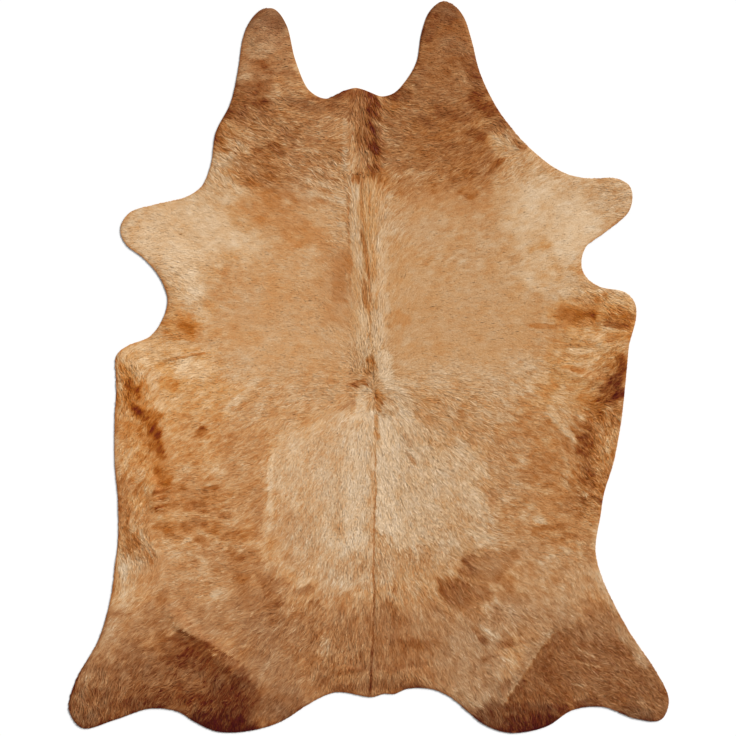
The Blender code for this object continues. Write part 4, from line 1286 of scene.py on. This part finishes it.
# %% Where the locks grow
LOCK_SPACING = 3.12 * MM
LOCK_LENGTH = 18 * MM
LOCK_WIDTH = 3.3 * MM
WIDEST = 0.35  # how far along a lock its widest point is
OVERHANG = 0.5 * MM  # how far a tip may reach over the cut edge
ROOT_INSET = 0.4 * MM  # how far inside it the outermost roots are
Coat = namedtuple("Coat", "place start end half_width longer unruly ruffled")
COATS = (
    Coat("left shoulder", (-640, 430), (-200, 450), 150, 0.80, 8, 0.42),
    Coat("right shoulder", (200, 450), (640, 450), 150, 0.80, 8, 0.36),
    Coat("middle", (-350, 180), (-100, 180), 300, 0.75, 7, 0.40),
    Coat("right of the middle", (100, 180), (450, 180), 280, 0.75, 7, 0.34),
    Coat("right side", (540, -80), (560, -560), 200, 0.8, 10, 0.68),
    Coat("right loin", (420, -640), (640, -680), 130, 0.85, 9, 0.62),
    Coat("left side", (-540, -80), (-560, -560), 200, 0.85, 10, 0.82),
    Coat("left of the back", (-150, -350), (-100, -450), 220, 0.66, 9, 0.90),
    Coat("right of the back", (160, -350), (170, -450), 220, 0.66, 9, 0.98),
    Coat("left rump", (-260, -800), (-120, -860), 150, 0.9, 11, 1.3),
    Coat("right rump", (120, -820), (300, -860), 150, 0.9, 9, 0.78),
    Coat("left of the neck", (-400, 720), (-100, 700), 190, 1.0, 11, 1.2),
    Coat("right of the neck", (100, 700), (400, 720), 190, 1.0, 10, 1.15),
    Coat("left cheek", (-320, 920), (-310, 1090), 120, 0.75, 11, 0.62),
    Coat("right cheek", (225, 920), (230, 1110), 120, 0.75, 11, 0.62),
    Coat("mane", (0, 830), (0, 590), 60, 1.30, 11, 1.2),
    Coat("golden mane", (-4, 590), (10, 60), 58, 1.5, 7, 0.90),
    Coat("left belly", (-730, -20), (-720, -560), 80, 0.66, 12, 1.1),
    Coat("rungs of the left belly", (-640, -370), (-640, -410), 60, 0.65, 9, 0.9),
    Coat("right belly", (750, 20), (690, -420), 80, 0.68, 13, 1.2),
    Coat("left leg", (-500, -980), (-860, -1040), 140, 1.0, 15, 1.4),
    Coat("right leg", (540, -980), (860, -1010), 140, 0.95, 12, 1.05),
    Coat("round the whorl", (8, 16), (16, -130), 100, 0.74, 11, 0.92),
    Coat("crease of the right thigh", (560, -822), (414, -1034), 44, 0.58, 11, 0.9),
)

longer, unruly = blended(COATS, 1.0, "longer"), blended(COATS, 10, "unruly")
ruffled = blended(COATS, 1.0, "ruffled")
chance = np.random.default_rng(31)
rows_of_roots = [np.arange(places[0], places[-1], LOCK_SPACING) for places in (across, along)]
root_x, root_y = np.meshgrid(*rows_of_roots)
root_x = (root_x + LOCK_SPACING * chance.uniform(-0.5, 0.5, root_x.shape)).ravel()
root_y = (root_y + LOCK_SPACING * chance.uniform(-0.5, 0.5, root_y.shape)).ravel()
grows = read(inset, root_x, root_y) > ROOT_INSET
root_x, root_y = root_x[grows], root_y[grows]
count = len(root_x)
print(count, "locks")

# %% The shape of each lock
LENGTHS, WIDTHS = (0.7, 1.3), (0.65, 1.35)  # of the usual length and width
GUARD_SHARE = 0.06  # of the locks, which are long pale guard hairs that lie on top
GUARD_LENGTH, GUARD_WIDTH, GUARD_PALER = 1.6, 0.75, 0.06
SWING_SIZE = 9 * MM  # across a group of locks that swing to the same side
SWING, STRAY = 0.8, 0.8  # how far the group turns, and each lock on its own
SHORTEST = 0.15  # share of its length that a lock keeps at the edge

layer = chance.uniform(0, 1, count)  # 0 is a lock at the bottom, 1 one on top
ruffle = read(ruffled, root_x, root_y)
guard = chance.uniform(0, 1, count) < GUARD_SHARE * ruffle**2
layer[guard] = 1
length = LOCK_LENGTH * chance.uniform(*LENGTHS, count) * read(longer, root_x, root_y)
length *= np.where(guard, GUARD_LENGTH, 1)
width = LOCK_WIDTH * chance.uniform(*WIDTHS, count) * np.where(guard, GUARD_WIDTH, 1)
swing = read(soft_noise(SWING_SIZE, seed=41), root_x, root_y)
astray = read(unruly, root_x, root_y) * (SWING * swing + STRAY * chance.standard_normal(count))


def way_at(x, y):
    """The direction of the lie of the hair, with each lock's own swing."""
    return np.arctan2(read(way_y, x, y), read(way_x, x, y)) + np.radians(astray)


heading = way_at(root_x, root_y)


def kept_on_hide(length, heading):
    """The length, cut where the tip would reach too far over the edge."""
    here = read(inset, root_x, root_y)
    for _ in range(2):
        tip = read(inset, root_x + length * np.cos(heading), root_y + length * np.sin(heading))
        over = tip < -OVERHANG
        share = np.where(over, (here + OVERHANG) / np.maximum(here - tip, 1e-6), 1)
        length = length * np.clip(share, SHORTEST, 1)
    return length


length = kept_on_hide(length, heading)
mid_x = root_x + WIDEST * length * np.cos(heading)
mid_y = root_y + WIDEST * length * np.sin(heading)
onward = way_at(mid_x, mid_y)
tip_x = mid_x + (1 - WIDEST) * length * np.cos(onward)
tip_y = mid_y + (1 - WIDEST) * length * np.sin(onward)


# %% Five points for each lock
ROLL = 10  # degrees, in a coat that is neither sleek nor curly
MOST_ROLL = 0.9  # radians
ROOT_SHARE = 0.55  # how wide a lock is at its root, beside its widest point
MEAN_HEIGHT, RUFFLED_HEIGHT = 0.64, 0.5  # of the widest point, as shares of the hair's depth
ROOT_LOWER, TIP_LOWER, LOWEST_ROOT = 0.24, 0.16, 0.05
OFF_FLOOR = 0.3 * MM
OWN_SHADE = 0.25  # the rest of a lock's shade is that of the coat around each point
DEPTH_SPREAD, WARMTH_SPREAD = 0.055, 0.04  # from one lock to the next

roll = np.radians(ruffle * chance.normal(0, ROLL, count)).clip(-MOST_ROLL, MOST_ROLL)


def height(x, y, share):
    """This share of the hair's depth above the skin."""
    return read(lift, x, y) + SKIN_THICKNESS + share * read(fill, x, y)


def across_lock(x, y, share, way, half_width):
    """The left and right points of a lock at this share of the hair's depth, rolled with it."""
    z = height(x, y, share)
    side = half_width * np.cos(roll)
    rise = half_width * np.sin(roll)
    left = np.column_stack([x - side * np.sin(way), y + side * np.cos(way), z + rise])
    right = np.column_stack([x + side * np.sin(way), y - side * np.cos(way), z - rise])
    return left, right


raised = MEAN_HEIGHT + RUFFLED_HEIGHT * ruffle * (layer - 0.5)
low = np.maximum(raised - ROOT_LOWER, LOWEST_ROOT)
root = across_lock(root_x, root_y, low, heading, ROOT_SHARE * width / 2)
middle = across_lock(mid_x, mid_y, raised, heading, width / 2)
tip = np.column_stack([tip_x, tip_y, height(tip_x, tip_y, raised - TIP_LOWER)])
lock_points = np.stack([*root, *middle, tip], 1)
lock_points[..., 2] = np.maximum(lock_points[..., 2], OFF_FLOOR)


def shades(field, spread):
    """The coat at the lock's five points: partly one shade all along, partly the place's own."""
    places = ((root_x, root_y), (mid_x, mid_y), (tip_x, tip_y))
    at_root, at_middle, at_tip = (read(field, x, y) for x, y in places)
    own = OWN_SHADE * (at_middle + at_tip) / 2 + spread * ruffle * chance.standard_normal(count)
    rows = [at_root, at_root, at_middle, at_middle, at_tip]
    return own[:, None] + (1 - OWN_SHADE) * np.stack(rows, 1)


lock_depth, lock_warmth = shades(depth, DEPTH_SPREAD), shades(warmth, WARMTH_SPREAD)
lock_depth -= (GUARD_PALER * guard)[:, None]
print("locks are", (length.min() / MM).round(1), "to", (length.max() / MM).round(1), "mm long")

# %% [markdown]
# Three hundred thousand leaves in one mesh would be clumsy to handle, so the hair is made in
# pieces, one for each region of the hide. A lock belongs to the first region whose rule it meets.
# Within a piece the leaves are ordered from the lowest to the topmost. A piece has two maps: one
# of the fibres, where a leaf's place differs from its neighbours', and one that is flat.

# %% One mesh for each region
NECK_FROM, SHOULDERS_FROM, THIGHS_TO = 0.565, 0.215, -0.62  # along the hide
LEFT_SIDE_TO, RIGHT_SIDE_FROM, TAIL = -0.30, 0.36, 0.02  # across it
REGIONS = {
    "hair_neck": root_y > NECK_FROM,
    "hair_shoulders": root_y > SHOULDERS_FROM,
    "hair_left_side": (root_y > THIGHS_TO) & (root_x < LEFT_SIDE_TO),
    "hair_right_side": (root_y > THIGHS_TO) & (root_x > RIGHT_SIDE_FROM),
    "hair_back": root_y > THIGHS_TO,
    "hair_left_thigh": root_x < TAIL,
    "hair_right_thigh": root_x >= TAIL,
}
# A leaf's points are its root's two, its widest point's two and its tip. Its faces are a
# quadrilateral and a triangle, with seven corners in all.
FACES = ((0, 1, 3, 2), (2, 3, 4))
ACROSS_LEAF = (0.2, 0.8, 1.0, 0.0, 0.0, 1.0, 0.5)
ALONG_LEAF = (0.0, 0.0, WIDEST, WIDEST, WIDEST, WIDEST, 1.0)
FIBRE_MAPS, MAP_STEP = 997, 3.0  # how many places the map of the fibres has, and how far apart


def hair_piece(name, chosen):
    """The chosen locks as one mesh, with what the material reads at each point."""
    n = len(chosen)
    first = 5 * np.arange(n)[:, None]
    corners = np.hstack([first + face for face in FACES]).ravel()
    mesh = bpy.data.meshes.new(name)
    mesh.vertices.add(5 * n)
    mesh.loops.add(len(corners))
    mesh.polygons.add(2 * n)
    mesh.vertices.foreach_set("co", lock_points[chosen].astype(np.float32).ravel())
    mesh.loops.foreach_set("vertex_index", corners.astype(np.int32))
    starts = (7 * np.arange(n)[:, None] + (0, len(FACES[0]))).ravel()
    mesh.polygons.foreach_set("loop_start", starts.astype(np.int32))
    mesh.update(calc_edges=True)
    mesh.shade_smooth()
    points = lock_points[chosen].reshape(-1, 3)[:, :2]
    low, high = points.min(0), points.max(0)
    bake = ((points - low) / (high - low))[corners]
    aside = np.tile(ACROSS_LEAF, (n, 1)) + (chosen % FIBRE_MAPS)[:, None] * MAP_STEP
    fibres = np.stack([aside, np.tile(ALONG_LEAF, (n, 1))], -1)
    for label, uv in (("fibres", fibres), ("OFBake", bake)):
        sheet = mesh.uv_layers.new(name=label)
        sheet.uv.foreach_set("vector", uv.astype(np.float32).ravel())
    add_values(
        mesh,
        depth=lock_depth[chosen].ravel(),
        warmth=lock_warmth[chosen].ravel(),
        outward=np.tile((0, 0, WIDEST, WIDEST, 1), n),
    )
    print(f"{name}: {n} locks, {3 * n} triangles")
    return in_scene(name, mesh)


hair_pieces, free = [], np.ones(count, bool)
for name, belongs in REGIONS.items():
    chosen = np.flatnonzero(belongs & free)
    free[chosen] = False
    hair_pieces.append(hair_piece(name, chosen[np.argsort(layer[chosen])]))

# %% [markdown]
# ## Materials
#
# The finishes are made of nodes. To keep them readable, a small class wraps a node's output, so
# that values can be added and multiplied like numbers.


# %% Nodes written as sums
class Wire:
    """An output of a node, which can stand in a sum: 1 - wire, wire * 0.5, wire + other."""

    def __init__(self, tree, socket=None):
        self.tree, self.socket = tree, socket

    def node(self, kind, settings=None, inputs=None, output=0):
        """A new node. Its settings come first, then a value or a wire for each input."""
        made = self.tree.nodes.new("ShaderNode" + kind)
        settings = dict(settings or {})
        stops = settings.pop("stops", ())
        for name, value in settings.items():
            setattr(made, name, value)
        for place, colour in stops[1:-1]:
            made.color_ramp.elements.new(place).color = colour
        for end in (0, -1) if stops else ():
            made.color_ramp.elements[end].position = stops[end][0]
            made.color_ramp.elements[end].color = stops[end][1]
        for name, value in (inputs or {}).items():
            if isinstance(value, Wire):
                self.tree.links.new(value.socket, made.inputs[name])
            else:
                made.inputs[name].default_value = value
        return Wire(self.tree, made.outputs[output]) if made.outputs else None

    def maths(self, operation, first, second):
        return self.node("Math", {"operation": operation}, {0: first, 1: second})

    def __add__(self, other):
        return self.maths("ADD", self, other)

    def __sub__(self, other):
        return self.maths("SUBTRACT", self, other)

    def __rsub__(self, other):
        return self.maths("SUBTRACT", other, self)

    def __mul__(self, other):
        return self.maths("MULTIPLY", self, other)

    __radd__, __rmul__ = __add__, __mul__


def blank(name):
    """A new material with no nodes, and a wire to start from."""
    material = bpy.data.materials.new(name)
    material.use_nodes = True
    material.node_tree.nodes.clear()
    return material, Wire(material.node_tree)


def stored(wires, name):
    """The numbers that the mesh keeps under this name."""
    return wires.node("Attribute", {"attribute_name": name}, output="Fac")


def noise(wires, place, scale, detail):
    return wires.node("TexNoise", None, {"Vector": place, "Scale": scale, "Detail": detail})


def between(low, high, share):
    """A number from low to high."""
    return low + (high - low) * share


def mixed(wires, share, first, second):
    """A colour between two."""
    return wires.node("Mix", {"data_type": "RGBA"}, {0: share, 6: first, 7: second}, 2)


def relief(wires, raised, strength, distance):
    """A surface raised by up to this distance."""
    return wires.node("Bump", None, {"Height": raised, "Strength": strength, "Distance": distance})


def finish_with(wires, **inputs):
    """The surface itself: one shader with these inputs, shown by the material."""
    names = {name.replace("_", " "): value for name, value in inputs.items()}
    shader = wires.node("BsdfPrincipled", None, names)
    wires.node("OutputMaterial", None, {"Surface": shader})


# %% [markdown]
# ### The coat's palette
#
# Each shade is given twice: how it looks on grey, worn hair and how it looks on warm hair. Two
# ramps turn depth into colour, and warmth mixes between them. The shades are screen colours, from
# 0 to 255, set close to the mean colours of the photo's hide from its palest parts to its darkest.

# %% Shades
Shade = namedtuple("Shade", "name depth cool warm")
SHADES = (
    Shade("cream", 0.00, (222, 196, 166), (231, 188, 136)),
    Shade("sand", 0.19, (203, 173, 139), (212, 161, 108)),
    Shade("straw", 0.29, (193, 155, 118), (203, 147, 89)),
    Shade("tan", 0.39, (177, 136, 99), (197, 132, 75)),
    Shade("caramel", 0.49, (162, 120, 86), (186, 118, 62)),
    Shade("brown", 0.59, (145, 104, 75), (174, 104, 50)),
    Shade("rust", 0.69, (129, 90, 64), (158, 89, 42)),
    Shade("dark rust", 0.80, (111, 73, 52), (142, 74, 32)),
    Shade("umber", 0.93, (87, 49, 32), (118, 56, 24)),
    Shade("dark umber", 1.08, (66, 32, 18), (92, 38, 14)),
)
COOLEST, WARMEST = -0.2, 1.3
HAIR_LIFT = (0.98, 1.01, 1.04)  # hair shades hair: its own colour is lighter than it looks
GLOSS = 0.018  # the light that gloss adds to every shade
DARKEST, LIGHTEST = 0.002, 0.95


def light(colour, gain):
    """The colour that a surface needs so that, lit, it looks like this screen colour."""
    linear = [((c / 255 + 0.055) / 1.055) ** 2.4 for c in colour]
    lifted = [gain * lift * (c - GLOSS) for c, lift in zip(linear, HAIR_LIFT)]
    return (*(min(max(c, DARKEST), LIGHTEST) for c in lifted), 1.0)


def coat_colour(wires, deep, warm, gain):
    """The colour of the coat from its depth and warmth."""
    ramps = []
    for column in ("cool", "warm"):
        stops = [(s.depth / DEEPEST, light(getattr(s, column), gain)) for s in SHADES]
        ramps.append(wires.node("ValToRGB", {"stops": stops}, {0: deep * (1 / DEEPEST)}))
    return mixed(wires, (warm - COOLEST) * (1 / (WARMEST - COOLEST)), *ramps)


print(len(SHADES), "shades from", SHADES[0].name, "to", SHADES[-1].name)

# %% [markdown]
# ### Hair
#
# A lock is painted darker at its root, a painted shade for the little light that gets in there,
# and it is bleached at its tip. Along it run the single fibres, too fine for the mesh: they are
# noise stretched along the lock, which varies the colour a little, roughens the gloss and raises
# the surface by a tenth of a millimetre.

# %% The hair's material
HAIR_GAIN = 1.0
# Painted shade at a lock's root and real bleaching at its tip, as a change of depth along the lock.
ROOT_SHADE_AND_TIP_BLEACH = 0.10
MIDWAY = 0.6  # along a lock, where it is neither darker nor bleached
SHEEN = 0.12  # how much the surface reflects: 0.5 is a clean, smooth one
FIBRES = (6.0, 1.2, 1.0)  # waves of the fibre noise across a lock and along it

hair, wires = blank("cow hair")
root_shade_and_bleach = ROOT_SHADE_AND_TIP_BLEACH * (MIDWAY - stored(wires, "outward"))
colour = coat_colour(wires, stored(wires, "depth") + root_shade_and_bleach, stored(wires, "warmth"), HAIR_GAIN)
place = wires.node("UVMap", {"uv_map": "fibres"})
stretched = wires.node("VectorMath", {"operation": "MULTIPLY"}, {0: place, 1: FIBRES})
fibres = noise(wires, stretched, 1.0, 2.0)
shade = between(0.86, 1.14, fibres)
finish_with(
    wires,
    Base_Color=wires.node("VectorMath", {"operation": "SCALE"}, {0: colour, "Scale": shade}),
    Roughness=between(0.42, 0.64, fibres),
    Normal=relief(wires, fibres, 0.35, 0.1 * MM),
    Specular_IOR_Level=SHEEN,
)

# %% [markdown]
# ### Skin
#
# The upper side shows only between the locks, as a darker shade of the coat above it. The flesh
# side is suede: off-white, cloudy from the tanning, with a short nap. The cut edge shows the
# fibres inside the leather.

# %% The skin's three materials
ROOT_GAIN = 0.95
ROOT_SHEEN = 0.1
PALE_SUEDE, DARK_SUEDE = (0.60, 0.51, 0.40, 1), (0.43, 0.34, 0.25, 1)
DARK_FIBRE, PALE_FIBRE = (0.30, 0.20, 0.12, 1), (0.46, 0.35, 0.24, 1)

roots, wires = blank("skin between the hairs")
pores = noise(wires, wires.node("TexCoord", output="Object"), 900.0, 1.0)
deep = stored(wires, "depth") + 0.1 * (pores - 0.5)
finish_with(
    wires,
    Base_Color=coat_colour(wires, deep, stored(wires, "warmth"), ROOT_GAIN),
    Roughness=between(0.75, 0.85, pores),
    Normal=relief(wires, pores, 0.4, 0.2 * MM),
    Specular_IOR_Level=ROOT_SHEEN,
)

suede, wires = blank("suede flesh side")
ground = wires.node("TexCoord", output="Object")
cloudy, nap = noise(wires, ground, 7.0, 4.0), noise(wires, ground, 420.0, 3.0)
finish_with(
    wires,
    Base_Color=mixed(wires, 1.6 * cloudy - 0.35 + 0.3 * nap, PALE_SUEDE, DARK_SUEDE),
    Roughness=between(0.85, 0.95, nap),
    Normal=relief(wires, nap, 0.6, 0.4 * MM),
)

edge, wires = blank("cut edge of the skin")
grain = noise(wires, wires.node("TexCoord", output="Object"), 260.0, 3.0)
finish_with(
    wires,
    Base_Color=mixed(wires, grain, DARK_FIBRE, PALE_FIBRE),
    Roughness=between(0.7, 0.9, grain),
    Normal=relief(wires, grain, 0.5, 0.3 * MM),
)

for material in (roots, suede, edge):
    skin_data.materials.append(material)
for piece in hair_pieces:
    piece.data.materials.append(hair)
print("materials:", ", ".join(m.name for m in (hair, roots, suede, edge)))

# %% [markdown]
# ## Joining the frame
#
# The skin stands for the imported solid, and the hair goes with it: both hang on the frame's root
# body, and the solid is hidden. Flat, the skin is as wide and as long as the hide, and its area is
# what the outline encloses.

# %% Pieces on their body
for piece in (skin, *hair_pieces):
    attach(piece, "root")
    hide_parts("hide")

# %% [markdown]
# ## Floor, light and camera
#
# The rug lies on a plain pale floor. One broad, soft lamp shines from the upper right, so that the
# hide throws a thin shade along its left and lower edges, and a pale room lights it from all
# round. The camera looks straight down with a long lens, the neck at the top.

# %% Floor
FLOOR_HALF = 30.0
corners = FLOOR_HALF * np.array(((-1, -1, 0), (1, -1, 0), (1, 1, 0), (-1, 1, 0)))
floor_data = bpy.data.meshes.new("floor")
floor_data.from_pydata(corners.tolist(), [], [(0, 1, 2, 3)])
floor = in_scene("floor", floor_data)
pale, wires = blank("pale floor")
finish_with(wires, Base_Color=(0.86, 0.86, 0.86, 1), Roughness=0.9, Specular_IOR_Level=0.1)
floor_data.materials.append(pale)
floor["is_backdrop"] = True

# %% Light
ROOM_LIGHT = 0.34
LAMP_POWER = 4.72
LAMP_HEIGHT = 34  # degrees above the floor
LAMP_SIDE = 42  # degrees from the right towards the neck
LAMP_SOFT = 30  # degrees across, as the lamp is seen from the rug

room = bpy.data.worlds.new("pale room")
room.use_nodes = True
background = room.node_tree.nodes["Background"]
background.inputs["Color"].default_value = (1, 1, 1, 1)
background.inputs["Strength"].default_value = ROOM_LIGHT
bpy.context.scene.world = room
lamp_data = bpy.data.lights.new("soft lamp", "SUN")
lamp_data.energy = LAMP_POWER
lamp_data.angle = math.radians(LAMP_SOFT)
lamp = in_scene("soft lamp", lamp_data)
lamp.rotation_euler = (0, math.radians(90 - LAMP_HEIGHT), math.radians(LAMP_SIDE))

# %% Camera
LENS, SENSOR = 85, 36
PICTURE_WIDTH, PIXEL = 736, 3.074 * MM  # in pixels, and what a pixel shows of the floor
CENTRE = (-2.6 * MM, -2.9 * MM)  # of the picture, on the floor
FOCUS_HEIGHT = 5 * MM  # where that scale holds, in the middle of the rug's height

camera_data = bpy.data.cameras.new("camera")
camera_data.lens, camera_data.sensor_width = LENS, SENSOR
camera_data.clip_end = 100
camera = in_scene("camera", camera_data)
camera.location = (*CENTRE, PICTURE_WIDTH * PIXEL * LENS / SENSOR + FOCUS_HEIGHT)
bpy.context.scene.camera = camera
bpy.context.scene.view_settings.view_transform = "Standard"
print("the camera hangs", round(camera.location.z, 3), "m above the floor")

# %% [markdown]
# ## Sizes
#
# The dressed rug has to be as large as the imported solid, so the sizes of both are printed.

# %% Boxes
low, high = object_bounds()
print("the dressed rug is", [round(size, 4) for size in high - low], "m")
